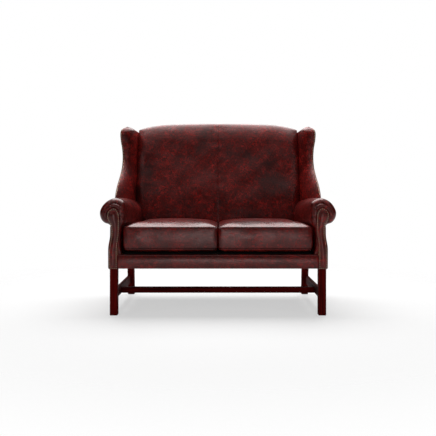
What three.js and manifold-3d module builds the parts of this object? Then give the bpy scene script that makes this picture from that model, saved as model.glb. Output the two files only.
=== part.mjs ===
// High back settee with wings, scroll arms and two loose seat cushions.
// Millimetres, +Z up. The front faces -Y, X runs along the width, and the floor is at Z = 0.
// Inside the model, y counts backwards from the front faces of the front legs.

import * as THREE from 'three';
import { mergeVertices } from 'three/addons/utils/BufferGeometryUtils.js';
import Module from 'manifold-3d';

const wasm = await Module();
wasm.setup();

// Clearances
const gap = 0.3;
const shadowGap = 1.2;
const cutOverrun = 12;
const weldTolerance = 0.001;

// Legs and stretchers
const legOuterX = 605;
const legSection = 43;
const legInnerX = legOuterX - legSection;
const footChamfer = 2.5;
const frameBottomZ = 262;
const rearLegFrontY = 686;
const rearFootRake = 46;
const stretcherThickness = 20;
const sideStretcherBottomZ = 76;
const sideStretcherHeight = 52;
const centreStretcherHeight = 33;
const centreStretcherDepth = 44;
const centreStretcherFrontY = 318;

// Seat frame
const seatRailThickness = 30;
const seatRailHeight = 70;
const clothRecess = 4;
const seatRailBottomZ = frameBottomZ + clothRecess;
const legTopZ = seatRailBottomZ + seatRailHeight;
const frontRailSetback = 5;
const sideRailInset = 5;
const rearRailSetback = 4;
const seatBraceWidth = 32;
const seatBraceDrop = 11;
const cornerBlockReach = 72;
const cornerBlockHeight = 52;
const dustCoverThickness = 2;

// Seat springs and deck
const springCount = 8;
const springWire = 3.4;
const springSwing = 21;
const springHalfWave = 62;
const springSteps = 3;
const fewestSwings = 2;
const springSideMargin = 97;
const springFrontInset = 9;
const springRearInset = 17;
const deckBottomZ = legTopZ + gap + springWire + gap;
const deckThickness = 13.7;
const deckFrontY = 24;
const deckSideGap = 3;
const deckSteps = 8;

// Arms
const armFootLift = 6;
const armFootZ = legTopZ + armFootLift;
const armSideHeight = 157;
const armNeckZ = armFootZ + armSideHeight;
const rollFrontHeight = 157;
const rollRearHeight = 149;
const rollFrontOverhang = 59;
const rollRearOverhang = 55;
const armFrontInward = 44;
const armRearInward = 67;
const armFrontInnerX = legInnerX - armFrontInward;
const armRearInnerX = legInnerX - armRearInward;
const armRollRounding = 30;
const armRollInset = 25;
const armFootInset = 5;
const armRearBlendInset = 66;
const armPostWidth = 32;
const armPostDepth = 40;
const armPostTopZ = armNeckZ + rollFrontHeight / 2;
const armRailHeight = 38;
const armPanelThickness = 9;
const armPanelOverhang = 10;
const armPanelNeckDraw = 11;
const armPanelWideX = legOuterX + armPanelOverhang;
const armPanelNeckX = armPanelWideX - armPanelNeckDraw;
const armPanelBendDrop = 43;
const armPanelBendHeight = 90;
const armPanelBendTopZ = armNeckZ - armPanelBendDrop;
const facingInward = 10.5;
const facingInnerX = legInnerX - facingInward;
const facingWidth = 70;
const facingDrop = 3.5;
const facingBottomZ = frameBottomZ - facingDrop;
const facingRise = 103;
const facingHeight = armNeckZ + facingRise - facingBottomZ;
const facingThickness = 12;
const facingRounding = 4;
const facingRoundingSteps = 2;

// Back
const backSlope = 0.131;
const backFootOverhang = 6;
const backFootY = rearLegFrontY + legSection + backFootOverhang;
const backPanelThickness = 5;
const backPostThickness = 40;
const backPostWidth = 32;
const backFrameSetback = 6;
const backHeight = 812;
const backTopZ = armFootZ + backHeight;
const backCamberDrop = 7;
const backCamberRun = 360;
const backShoulderInset = 210;
const backShoulderRun = 196;
const backShoulderDrop = 22;
const backRollDrop = 41;
const backTopRailHeight = 78;
const backTopRailInset = 5;
const backTopRailEndX = legOuterX - backTopRailInset;
const backLowerRailLift = 36;
const backLowerRailBottomZ = legTopZ + backLowerRailLift;
const backLowerRailHeight = 60;
const backPadInset = 22;
const backPadHalfWidth = legInnerX - backPadInset;
const backShoulderX = backPadHalfWidth - backShoulderInset;
const backPadFootDepth = 176;
const backPadTopDepth = 78;
const backPadTaper = (backPadFootDepth - backPadTopDepth) / (backHeight - backRollDrop);
const backPadCrown = 14;
const backCrownPower = 3;
const backSeamDepth = 7;
const backSeamHalfWidth = 16;
const backEdgeDraw = 15;
const backEdgeDrawRun = 60;
const lumbarFullness = 10;
const lumbarHeight = 298;
const lumbarZ = armFootZ + lumbarHeight;
const lumbarSpread = 150;
const webCount = 4;
const webWidth = 50;
const webThickness = 2.6;
const webFirstLift = 128;
const webTopGap = 115;
const backPadRearDepth = backFrameSetback + backPostThickness + gap + webThickness + gap;

// Front border
const borderThickness = 14;
const borderLipHeight = 5.4;
const borderTopZ = legTopZ + borderLipHeight;
const borderRounding = 4.5;
const borderLipDepth = 15;

// Wings
const wingFootRise = 101;
const wingSpringRise = 141;
const wingTopDrop = 40;
const wingFootZ = armNeckZ + wingFootRise;
const wingSpringZ = armNeckZ + wingSpringRise;
const wingTopZ = backTopZ - wingTopDrop;
const wingSeamX = backPadHalfWidth + shadowGap;
const wingFlare = 97;
const wingRearOverhang = 1;
const wingRearX = legOuterX + wingRearOverhang;
const wingWaistInset = 35;
const wingWaistY = backFootY - wingWaistInset;
const wingReach = 365;
const wingEdgeRadius = 17;
const wingTopRounding = 26;
const wingPanelThickness = 5;
const wingFrameThickness = 20;
const wingFrameInset = 26;
const wingFrameSlack = 0.8;
const wingPanelInset = 10;

// Seat cushions
const cushionBottomZ = deckBottomZ + deckThickness + gap;
const cushionSideHeight = 138;
const cushionSeamZ = cushionBottomZ + cushionSideHeight;
const cushionCrown = 35;
const cushionFrontSetback = -4;
const cushionRearGap = 8;
const cushionFrontTuck = 9;
const cushionRearGapX = 8;
const cushionParting = 4;
const cushionBulge = 6;
const cushionCorner = 34;
const cushionUnderCrown = 7;
const cushionSeamDraw = 5;

// Finishes
const leather = { color: 0x4a1a19, roughness: 0.42, metalness: 0 };
const stainedWood = { color: 0x35100d, roughness: 0.35, metalness: 0 };
const frameWood = { color: 0xb98d5c, roughness: 0.8, metalness: 0 };
const springSteel = { color: 0x6a6d70, roughness: 0.4, metalness: 0.9 };
const jute = { color: 0xa58558, roughness: 0.95, metalness: 0 };
const blackCloth = { color: 0x141414, roughness: 0.95, metalness: 0 };

const settee = new THREE.Group();

function addPiece(name, geometry, finish) {
  const piece = new THREE.Mesh(geometry, new THREE.MeshStandardMaterial(finish));
  piece.name = name;
  settee.add(piece);
  return piece;
}

const blend = (from, to, share) => from + (to - from) * share;
const clamp = (value, low, high) => Math.min(Math.max(value, low), high);
const ease = (share) => {
  const s = clamp(share, 0, 1);
  return (1 - Math.cos(Math.PI * s)) / 2;
};

// Signed volume of a closed triangle list, positive when its faces point outwards.
function signedVolume(points, triangles) {
  let volume = 0;
  for (const [a, b, c] of triangles) {
    volume += points[a].dot(points[b].clone().cross(points[c]));
  }
  return volume;
}

function closedGeometry(points, triangles) {
  const outward = signedVolume(points, triangles) > 0;
  const index = triangles.flatMap(([a, b, c]) => (outward ? [a, b, c] : [a, c, b]));
  const geometry = new THREE.BufferGeometry();
  const numbers = points.flatMap((p) => p.toArray());
  geometry.setAttribute('position', new THREE.Float32BufferAttribute(numbers, 3));
  geometry.setIndex(index);
  geometry.computeVertexNormals();
  return geometry;
}

// Closed solid skinned over rings that all have the same number of points.
// capOf gives the triangles that close an end ring, all turning the same way as the ring.
function loftRings(rings, capOf) {
  const points = rings.flat();
  const count = rings[0].length;
  const triangles = [];
  for (let ring = 0; ring + 1 < rings.length; ring += 1) {
    for (let i = 0; i < count; i += 1) {
      const a = ring * count + i;
      const b = ring * count + ((i + 1) % count);
      triangles.push([a, b, b + count], [a, b + count, a + count]);
    }
  }
  const lastStart = (rings.length - 1) * count;
  triangles.push(...capOf(rings[0]).map(([a, b, c]) => [a, c, b]));
  triangles.push(...capOf(rings[rings.length - 1]).map((face) => face.map((i) => lastStart + i)));
  return closedGeometry(points, triangles);
}

// Cap over a flat ring of any outline, seen in the plane that flatten gives.
const outlineCap = (flatten) => (ring) => {
  const outline = ring.map(flatten);
  const faces = THREE.ShapeUtils.triangulateShape(outline, []);
  const turn = faces.reduce((sum, face) => sum + THREE.ShapeUtils.area(face.map((i) => outline[i])), 0);
  const sameTurn = turn * THREE.ShapeUtils.area(outline) > 0;
  return sameTurn ? faces : faces.map(([a, b, c]) => [a, c, b]);
};
const frontCap = outlineCap((p) => new THREE.Vector2(p.x, p.z));
const floorCap = outlineCap((p) => new THREE.Vector2(p.x, p.y));
const sideCap = outlineCap((p) => new THREE.Vector2(p.y, p.z));

// Cap over a narrow ring whose first half runs out along one side and whose second half runs back.
function ladderCap(ring) {
  const faces = [];
  for (let a = 0, d = ring.length - 1; a + 1 < d; a += 1, d -= 1) {
    faces.push([a, a + 1, d]);
    if (a + 1 < d - 1) faces.push([a + 1, d - 1, d]);
  }
  return faces;
}

function mirrored(geometry) {
  const copy = geometry.clone();
  copy.scale(-1, 1, 1);
  const index = copy.index.array;
  for (let i = 0; i < index.length; i += 3) {
    [index[i + 1], index[i + 2]] = [index[i + 2], index[i + 1]];
  }
  copy.computeVertexNormals();
  return copy;
}

function welded(geometry) {
  const plain = geometry.clone();
  plain.deleteAttribute('normal');
  plain.deleteAttribute('uv');
  return mergeVertices(plain, weldTolerance);
}

function toSolid(geometry) {
  const merged = welded(geometry);
  const mesh = new wasm.Mesh({
    numProp: 3,
    vertProperties: new Float32Array(merged.attributes.position.array),
    triVerts: new Uint32Array(merged.index.array),
  });
  return new wasm.Manifold(mesh);
}

function cutBy(geometry, cutters) {
  let solid = toSolid(geometry);
  for (const cutter of cutters) {
    solid = solid.subtract(toSolid(cutter));
  }
  const mesh = solid.getMesh();
  const result = new THREE.BufferGeometry();
  result.setAttribute('position', new THREE.Float32BufferAttribute(Array.from(mesh.vertProperties), 3));
  result.setIndex(Array.from(mesh.triVerts));
  result.computeVertexNormals();
  return result;
}

function block(x, y, z) {
  const box = new THREE.BoxGeometry(x[1] - x[0], y[1] - y[0], z[1] - z[0]);
  box.translate((x[0] + x[1]) / 2, (y[0] + y[1]) / 2, (z[0] + z[1]) / 2);
  return welded(box);
}

// Plate with its outline in the X-Z plane, running from frontY to rearY.
function frontPlate(outline, frontY, rearY, bevel = {}) {
  const shape = new THREE.Shape(outline.map(([x, z]) => new THREE.Vector2(x, z)));
  const plate = new THREE.ExtrudeGeometry(shape, { depth: rearY - frontY, bevelEnabled: false, ...bevel });
  plate.rotateX(Math.PI / 2);
  plate.translate(0, rearY, 0);
  return welded(plate);
}

// Bar with its outline in the Y-Z plane, running from leftX to rightX.
function sideBar(outline, leftX, rightX) {
  const shape = new THREE.Shape(outline.map(([y, z]) => new THREE.Vector2(y, z)));
  const bar = new THREE.ExtrudeGeometry(shape, { depth: rightX - leftX, bevelEnabled: false });
  bar.rotateX(Math.PI / 2);
  bar.rotateZ(Math.PI / 2);
  bar.translate(leftX, 0, 0);
  return welded(bar);
}

// Plate with its outline in the X-Y plane, running from bottomZ to topZ.
function floorPlate(outline, bottomZ, topZ) {
  const shape = new THREE.Shape(outline.map(([x, y]) => new THREE.Vector2(x, y)));
  const plate = new THREE.ExtrudeGeometry(shape, { depth: topZ - bottomZ, bevelEnabled: false });
  plate.translate(0, 0, bottomZ);
  return welded(plate);
}

const outsideBackY = (z) => backFootY + backSlope * (z - frameBottomZ);

// Geometry drawn with y = -depth in front of the outside back is leant onto it.
function leanOnBack(geometry) {
  const position = geometry.attributes.position;
  for (let i = 0; i < position.count; i += 1) {
    position.setY(i, position.getY(i) + outsideBackY(position.getZ(i)));
  }
  geometry.computeVertexNormals();
  return geometry;
}

// Smooth line through hand-chosen points, sampled evenly in its parameter.
function smoothLine(points, samples) {
  const places = points.map(([a, b]) => new THREE.Vector3(a, b, 0));
  const curve = new THREE.CatmullRomCurve3(places, false, 'centripetal');
  return curve.getPoints(samples).map((p) => [p.x, p.y]);
}

// Value looked up along a table of [place, value] pairs, eased between its rows.
function lookUp(table, place) {
  const last = table.length - 1;
  if (place <= table[0][0]) return table[0][1];
  if (place >= table[last][0]) return table[last][1];
  let row = 0;
  while (table[row + 1][0] < place) row += 1;
  const before = table[Math.max(row - 1, 0)];
  const from = table[row];
  const to = table[row + 1];
  const after = table[Math.min(row + 2, last)];
  const span = to[0] - from[0];
  const share = (place - from[0]) / span;
  const slopeFrom = ((to[1] - before[1]) / (to[0] - before[0])) * span;
  const slopeTo = ((after[1] - from[1]) / (after[0] - from[0])) * span;
  const s2 = share * share;
  const s3 = s2 * share;
  return (2 * s3 - 3 * s2 + 1) * from[1] + (s3 - 2 * s2 + share) * slopeFrom
    + (3 * s2 - 2 * s3) * to[1] + (s3 - s2) * slopeTo;
}

// Legs: square, with a small chamfer round the foot. Each level is [z, inset, rearward shift].
function legGeometry(frontY, levels) {
  const rings = levels.map(([z, inset, shift]) => {
    const innerX = legOuterX - legSection + inset;
    const outerX = legOuterX - inset;
    const nearY = frontY + shift + inset;
    const farY = frontY + shift + legSection - inset;
    return [[innerX, nearY], [outerX, nearY], [outerX, farY], [innerX, farY]]
      .map(([x, y]) => new THREE.Vector3(x, y, z));
  });
  return loftRings(rings, floorCap);
}

const rakeAt = (z) => rearFootRake * (1 - z / frameBottomZ);
const frontLeg = legGeometry(0, [[0, footChamfer, 0], [footChamfer, 0, 0], [legTopZ, 0, 0]]);
const rearLeg = legGeometry(rearLegFrontY, [
  [0, footChamfer, rearFootRake],
  [footChamfer, 0, rakeAt(footChamfer)],
  [frameBottomZ, 0, 0],
  [legTopZ, 0, 0],
]);
addPiece('front_leg_right', frontLeg, stainedWood);
addPiece('front_leg_left', mirrored(frontLeg), stainedWood);
addPiece('rear_leg_right', rearLeg, stainedWood);
addPiece('rear_leg_left', mirrored(rearLeg), stainedWood);

// Side stretchers are flush with the legs outside, and their rear ends follow the rake.
const stretcherInnerX = legOuterX - stretcherThickness;
const sideStretcherTopZ = sideStretcherBottomZ + sideStretcherHeight;
const sideStretcher = sideBar([
  [legSection + gap, sideStretcherBottomZ],
  [rearLegFrontY + rakeAt(sideStretcherBottomZ) - gap, sideStretcherBottomZ],
  [rearLegFrontY + rakeAt(sideStretcherTopZ) - gap, sideStretcherTopZ],
  [legSection + gap, sideStretcherTopZ],
], stretcherInnerX, legOuterX);
addPiece('side_stretcher_right', sideStretcher, stainedWood);
addPiece('side_stretcher_left', mirrored(sideStretcher), stainedWood);
addPiece('centre_stretcher', block(
  [gap - stretcherInnerX, stretcherInnerX - gap],
  [centreStretcherFrontY, centreStretcherFrontY + centreStretcherDepth],
  [sideStretcherBottomZ, sideStretcherBottomZ + centreStretcherHeight],
), stainedWood);

// Seat frame
const frontRailRearY = frontRailSetback + seatRailThickness;
const rearRailFrontY = rearLegFrontY + rearRailSetback;
const railEndX = legInnerX - gap;
addPiece('front_seat_rail', block(
  [-railEndX, railEndX],
  [frontRailSetback, frontRailRearY],
  [seatRailBottomZ, legTopZ],
), frameWood);
addPiece('rear_seat_rail', block(
  [-railEndX, railEndX],
  [rearRailFrontY, rearRailFrontY + seatRailThickness],
  [seatRailBottomZ, legTopZ],
), frameWood);
const sideRailOuterX = legOuterX - sideRailInset;
const sideRailInnerX = sideRailOuterX - seatRailThickness;
const sideRail = block(
  [sideRailInnerX, sideRailOuterX],
  [legSection + gap, rearLegFrontY - gap],
  [seatRailBottomZ, legTopZ],
);
addPiece('side_seat_rail_right', sideRail, frameWood);
addPiece('side_seat_rail_left', mirrored(sideRail), frameWood);
addPiece('seat_brace', block(
  [-seatBraceWidth / 2, seatBraceWidth / 2],
  [frontRailRearY + gap, rearRailFrontY - gap],
  [seatRailBottomZ, legTopZ - seatBraceDrop],
), frameWood);

// Corner blocks fill the corner between a rail, whose face is at railY, and a leg, whose face is at legY.
function cornerBlock(railY, legY, inward) {
  const reachX = railEndX - cornerBlockReach;
  const reachY = legY + inward * cornerBlockReach;
  return floorPlate([
    [railEndX, railY + inward * gap],
    [reachX, railY + inward * gap],
    [sideRailInnerX - gap, reachY],
    [sideRailInnerX - gap, legY + inward * gap],
    [railEndX, legY + inward * gap],
  ], seatRailBottomZ, seatRailBottomZ + cornerBlockHeight);
}
const frontCornerBlock = cornerBlock(frontRailRearY, legSection, 1);
const rearCornerBlock = cornerBlock(rearRailFrontY, rearLegFrontY, -1);
addPiece('corner_block_front_right', frontCornerBlock, frameWood);
addPiece('corner_block_front_left', mirrored(frontCornerBlock), frameWood);
addPiece('corner_block_rear_right', rearCornerBlock, frameWood);
addPiece('corner_block_rear_left', mirrored(rearCornerBlock), frameWood);

addPiece('dust_cover', block(
  [-railEndX, railEndX],
  [frontRailSetback, rearRailFrontY + seatRailThickness],
  [seatRailBottomZ - gap - dustCoverThickness, seatRailBottomZ - gap],
), blackCloth);

// Serpentine springs: a square wire that swings from side to side between the rails.
const springFrontY = borderLipDepth + springFrontInset;
const springFieldHalf = legInnerX - springSideMargin;
const springRearY = rearRailFrontY + seatRailThickness - springRearInset;
function springGeometry(centreX) {
  const swings = Math.max(fewestSwings, Math.round((springRearY - springFrontY) / springHalfWave));
  const steps = swings * springSteps;
  const centreZ = legTopZ + gap + springWire / 2;
  const rings = [];
  for (let step = 0; step <= steps; step += 1) {
    const share = step / steps;
    const phase = Math.PI * swings * share;
    const slope = springSwing * Math.cos(phase) * Math.PI * swings / (springRearY - springFrontY);
    const run = Math.hypot(slope, 1);
    const sideX = (springWire / 2) / run;
    const sideY = (-slope * springWire / 2) / run;
    const x = centreX + springSwing * Math.sin(phase);
    const y = blend(springFrontY, springRearY, share);
    const half = springWire / 2;
    rings.push([
      new THREE.Vector3(x - sideX, y - sideY, centreZ - half),
      new THREE.Vector3(x + sideX, y + sideY, centreZ - half),
      new THREE.Vector3(x + sideX, y + sideY, centreZ + half),
      new THREE.Vector3(x - sideX, y - sideY, centreZ + half),
    ]);
  }
  return loftRings(rings, frontCap);
}
for (let number = 1; number <= springCount; number += 1) {
  const centreX = blend(-springFieldHalf, springFieldHalf, (number - 1) / (springCount - 1));
  addPiece(`seat_spring_${number}`, springGeometry(centreX), springSteel);
}

// Arm section, as shares: across from the inner to the outer side of the arm,
// and up from the neck under the roll to the top of the roll.
const frontArmShares = [
  [0.17, -1], [0.185, -0.6], [0.175, -0.2], [0.09, 0], [0.015, 0.12], [0, 0.35], [0, 0.62], [0.06, 0.84],
  [0.22, 0.965], [0.44, 1], [0.62, 0.945], [0.77, 0.85], [0.91, 0.7], [0.995, 0.5], [0.96, 0.27],
  [0.83, 0.125], [0.66, 0.055], [0.6, 0],
];
const rearArmShares = [
  [0.02, -1], [0.01, -0.6], [0.005, -0.2], [0, 0], [0, 0.15], [0.005, 0.35], [0.07, 0.6], [0.2, 0.8],
  [0.37, 0.93], [0.54, 1], [0.68, 0.95], [0.8, 0.85], [0.92, 0.68], [1, 0.5], [0.96, 0.27],
  [0.83, 0.125], [0.7, 0.055], [0.665, 0],
];
const armOutlineSteps = 38;
const rollCentreShares = [0.48, 0.5];

function armPoint(shares, innerX, outerX, topZ) {
  const [across, up] = shares;
  const z = up < 0 ? blend(armNeckZ, armFootZ, -up) : blend(armNeckZ, topZ, up);
  return [blend(innerX, outerX, across), z];
}

// Outline of the arm at distance y behind the front, grown by extra where it is used as a cutter.
function armOutline(y, extra) {
  const share = ease(y / armLength);
  const innerX = blend(armFrontInnerX, armRearInnerX, share);
  const outerX = legOuterX + blend(rollFrontOverhang, rollRearOverhang, share);
  const topZ = armNeckZ + blend(rollFrontHeight, rollRearHeight, share);
  const roll = clamp(1 - y / armRollRounding, 0, 1);
  const inset = armRollInset * (1 - Math.sqrt(1 - roll * roll)) - extra;
  const footInset = armFootInset * (1 - Math.sqrt(1 - roll * roll)) - extra;
  const [centreX, centreZ] = armPoint(rollCentreShares, innerX, outerX, topZ);
  const points = frontArmShares.map((front, i) => {
    const rear = rearArmShares[i];
    const shares = [blend(front[0], rear[0], share), blend(front[1], rear[1], share)];
    const [x, z] = armPoint(shares, innerX, outerX, topZ);
    if (shares[1] < 0) return [x + footInset, z];
    const away = Math.hypot(centreX - x, centreZ - z);
    return [x + ((centreX - x) / away) * inset, z + ((centreZ - z) / away) * inset];
  });
  return smoothLine(points, armOutlineSteps);
}

const armRearDepth = backFrameSetback;
const armLength = rearLegFrontY - armRearBlendInset;
const armStationShares = [0, 0.004, 0.012, 0.024, 0.042, 0.09, 0.2, 0.36, 0.52, 0.68, 0.84, 1];
const armPostOuterX = legInnerX + armPostWidth;
const slotInnerX = legInnerX - gap;
const slotOuterX = armPostOuterX + gap;
const slotTopZ = armPostTopZ + gap;

// Arm padding. The slotted form is open underneath for the arm post and arm rail.
function armGeometry(extra, slotted) {
  const rings = armStationShares.map((station) => {
    const middleY = station * outsideBackY(armNeckZ);
    const outline = armOutline(middleY, extra);
    const inside = slotted
      ? [[slotOuterX, armNeckZ], [slotOuterX, slotTopZ], [slotInnerX, slotTopZ], [slotInnerX, armFootZ]]
      : [[armPanelNeckX - extra, armFootZ - extra]];
    return [...outline, ...inside].map(([x, z]) => {
      const endY = outsideBackY(z) - armRearDepth + extra;
      return new THREE.Vector3(x, blend(-extra, endY, station), z);
    });
  });
  return loftRings(rings, frontCap);
}

// Back camber: nearly flat in the middle, falling away at the shoulders.
function backTopAt(x) {
  const across = Math.abs(x);
  const shoulder = Math.max(0, across - backShoulderX) / backShoulderRun;
  const middle = across / backCamberRun;
  return backTopZ - backCamberDrop * middle * middle - backShoulderDrop * shoulder * shoulder;
}

// Depth of the inside back's face in front of the outside back.
function backFaceDepth(x, z) {
  const across = Math.abs(x);
  const foot = backPadFootDepth - backPadTaper * (z - armFootZ);
  const lumbar = lumbarFullness * Math.exp(-(((z - lumbarZ) / lumbarSpread) ** 2));
  const middle = backPadHalfWidth / 2;
  const crown = backPadCrown * (1 - Math.abs((across - middle) / middle) ** backCrownPower);
  const seam = backSeamDepth * Math.max(0, 1 - across / backSeamHalfWidth);
  const edge = Math.max(0, 1 - (backPadHalfWidth - across) / backEdgeDrawRun);
  return foot + lumbar + crown - seam - backEdgeDraw * edge * edge;
}

const backFootZ = armFootZ;
const backFaceSteps = 15;
const backRollSteps = 9;
const backStationShares = [0, 0.03, 0.08, 0.2, 0.35, 0.5, 0.65, 0.78, 0.88, 0.95, 1];

// Section of the inside back at one place across it: up its face, over the rolled top, down its rear.
function backRing(x, extra) {
  const topZ = backTopAt(x) + extra;
  const rollZ = backTopAt(x) - backRollDrop;
  const points = [];
  for (let step = 0; step <= backFaceSteps; step += 1) {
    const z = blend(backFootZ - extra, rollZ, step / backFaceSteps);
    points.push([backFaceDepth(x, z) + extra, z]);
  }
  const faceDepth = backFaceDepth(x, rollZ) + extra;
  const rollHalf = (faceDepth + extra) / 2;
  const rollMiddle = (faceDepth - extra) / 2;
  for (let step = 1; step <= backRollSteps; step += 1) {
    const angle = Math.PI * step / backRollSteps;
    const z = rollZ + (topZ - rollZ) * Math.sin(angle);
    points.push([rollMiddle + rollHalf * Math.cos(angle), z]);
  }
  points.push([backPadRearDepth - extra, rollZ]);
  points.push([backPadRearDepth - extra, backFootZ - extra]);
  return points.map(([depth, z]) => new THREE.Vector3(x, outsideBackY(z) - depth, z));
}

function backPadGeometry(extra) {
  const half = backPadHalfWidth + extra;
  const right = backStationShares.map((share) => share * half);
  const stations = [...right.slice(1).reverse().map((x) => -x), ...right];
  const rings = stations.map((x) => backRing(x, extra));
  return loftRings(rings, sideCap);
}

addPiece('inside_back', backPadGeometry(0), leather);

// Back frame, leant with the outside back
const backPostFrontDepth = backFrameSetback + backPostThickness;
const topRailBottomZ = backTopZ - backRollDrop - backTopRailHeight;
const backPost = leanOnBack(block(
  [legInnerX, legInnerX + backPostWidth],
  [-backPostFrontDepth, -backFrameSetback],
  [legTopZ + gap, topRailBottomZ - gap],
));
addPiece('back_post_right', backPost, frameWood);
addPiece('back_post_left', mirrored(backPost), frameWood);

// The camber, from right to left, on the same stations as the padding that rests on it
function camberLine(endX, drop) {
  const right = backStationShares.map((share) => share * backPadHalfWidth);
  const stations = [endX, ...right.slice(1).reverse(), ...right.map((x) => -x), -endX];
  return stations.map((x) => [x, backTopAt(x) - drop]);
}
addPiece('back_top_rail', leanOnBack(frontPlate([
  [-backTopRailEndX, topRailBottomZ],
  [backTopRailEndX, topRailBottomZ],
  ...camberLine(backTopRailEndX, backRollDrop + shadowGap),
], -backPostFrontDepth, -backFrameSetback)), frameWood);
addPiece('back_lower_rail', leanOnBack(block(
  [-railEndX, railEndX],
  [-backPostFrontDepth, -backFrameSetback],
  [backLowerRailBottomZ, backLowerRailBottomZ + backLowerRailHeight],
)), frameWood);
const webHalfWidth = legInnerX + backPostWidth;
const webFirstZ = armFootZ + webFirstLift;
const webLastZ = topRailBottomZ - webTopGap;
for (let number = 1; number <= webCount; number += 1) {
  const z = blend(webFirstZ, webLastZ, (number - 1) / (webCount - 1));
  addPiece(`back_web_${number}`, leanOnBack(block(
    [-webHalfWidth, webHalfWidth],
    [-backPostFrontDepth - gap - webThickness, -backPostFrontDepth - gap],
    [z, z + webWidth],
  )), jute);
}
addPiece('outside_back', leanOnBack(frontPlate([
  [-armPanelNeckX, frameBottomZ],
  [armPanelNeckX, frameBottomZ],
  ...camberLine(armPanelNeckX, backRollDrop + shadowGap),
], -backPanelThickness, 0)), leather);

// The frame behind the padding, cleared out of the arms and wings
const rearZone = (innerX, outerX, bottomZ, topZ) => leanOnBack(block(
  [innerX - cutOverrun, outerX],
  [-backPadRearDepth, cutOverrun],
  [bottomZ, topZ],
));

const backCutter = backPadGeometry(gap);
const insideArm = cutBy(armGeometry(0, true), [
  backCutter,
  rearZone(armRearInnerX, webHalfWidth + gap, armFootZ - cutOverrun, armNeckZ + rollFrontHeight + cutOverrun),
]);
addPiece('inside_arm_right', insideArm, leather);
addPiece('inside_arm_left', mirrored(insideArm), leather);

const armPost = block([legInnerX, armPostOuterX], [0, armPostDepth], [legTopZ + gap, armPostTopZ]);
addPiece('arm_post_right', armPost, frameWood);
addPiece('arm_post_left', mirrored(armPost), frameWood);
const armRailBottomZ = armPostTopZ - armRailHeight;
const railRearY = (z) => outsideBackY(z) - backPostFrontDepth - webThickness - 2 * gap;
const armRail = sideBar([
  [armPostDepth + gap, armRailBottomZ],
  [railRearY(armRailBottomZ), armRailBottomZ],
  [railRearY(armPostTopZ), armPostTopZ],
  [armPostDepth + gap, armPostTopZ],
], legInnerX, armPostOuterX);
addPiece('arm_rail_right', armRail, frameWood);
addPiece('arm_rail_left', mirrored(armRail), frameWood);

// Outside arm panel: flat below, drawn in to the neck under the roll
const armPanelSteps = 10;
function armPanelX(z) {
  const share = 1 - (armPanelBendTopZ - z) / armPanelBendHeight;
  return blend(armPanelWideX, armPanelNeckX, ease(share));
}
const armPanelTopZ = armNeckZ - shadowGap;
const armPanelLevels = Array.from({ length: armPanelSteps + 1 }, (_, step) => (
  blend(frameBottomZ, armPanelTopZ, step / armPanelSteps)
));
const armPanelRing = (atRear) => [
  ...armPanelLevels.map((z) => [armPanelX(z), z]),
  ...armPanelLevels.map((z) => [armPanelX(z) - armPanelThickness, z]).reverse(),
].map(([x, z]) => new THREE.Vector3(x, atRear ? outsideBackY(z) - armRearDepth : 0, z));
const outsideArm = loftRings([armPanelRing(false), armPanelRing(true)], frontCap);
addPiece('outside_arm_right', outsideArm, leather);
addPiece('outside_arm_left', mirrored(outsideArm), leather);

// Keyhole facing, as shares of its width and height
const facingShares = [
  [0.15, 0], [0.15, 0.33], [0.08, 0.485], [0.01, 0.565], [0, 0.65], [0, 0.86], [0.08, 0.94], [0.25, 0.985],
  [0.5, 1], [0.76, 0.975], [0.93, 0.93], [1, 0.875], [0.94, 0.81], [0.78, 0.755], [0.68, 0.7], [0.66, 0.56],
  [0.72, 0.47], [0.81, 0.36], [0.85, 0.28], [0.85, 0.03], [0.8, 0],
];
const facingSteps = 46;
const facingOutline = smoothLine(facingShares.map(([across, up]) => [
  facingInnerX + across * facingWidth,
  facingBottomZ + up * facingHeight,
]), facingSteps);
const facing = frontPlate(facingOutline, facingRounding - facingThickness, -facingRounding - gap, {
  bevelEnabled: true,
  bevelThickness: facingRounding,
  bevelSize: facingRounding,
  bevelOffset: -facingRounding,
  bevelSegments: facingRoundingSteps,
});
addPiece('arm_facing_right', facing, leather);
addPiece('arm_facing_left', mirrored(facing), leather);

// Front border: padded face with a lip over the front rail
const borderFrontY = frontRailSetback - gap - borderThickness;
const borderHalfWidth = facingInnerX + facingShares[0][0] * facingWidth - shadowGap;
const borderLipZ = legTopZ + gap;
const border = sideBar([
  [borderFrontY + borderRounding, frameBottomZ],
  [frontRailSetback - gap, frameBottomZ],
  [frontRailSetback - gap, borderLipZ],
  [borderLipDepth, borderLipZ],
  [borderLipDepth, borderTopZ - borderRounding],
  [borderLipDepth - borderRounding, borderTopZ],
  [borderFrontY + borderRounding, borderTopZ],
  [borderFrontY, borderTopZ - borderRounding],
  [borderFrontY, frameBottomZ + borderRounding],
], -borderHalfWidth, borderHalfWidth);
addPiece('front_border', border, leather);

// Seat deck, tapering with the arms
const deckRearY = outsideBackY(deckBottomZ) - backPadFootDepth - backPadCrown - shadowGap;
function armFaceX(y) {
  return Math.min(...armOutline(y, 0).filter(([, z]) => z < cushionBottomZ).map(([x]) => x));
}
const deckSide = Array.from({ length: deckSteps + 1 }, (_, step) => {
  const y = blend(deckFrontY, deckRearY, step / deckSteps);
  return [armFaceX(y) - deckSideGap, y];
});
addPiece('seat_deck', floorPlate([
  ...deckSide,
  ...deckSide.map(([x, y]) => [-x, y]).reverse(),
], deckBottomZ, deckBottomZ + deckThickness), jute);

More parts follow.
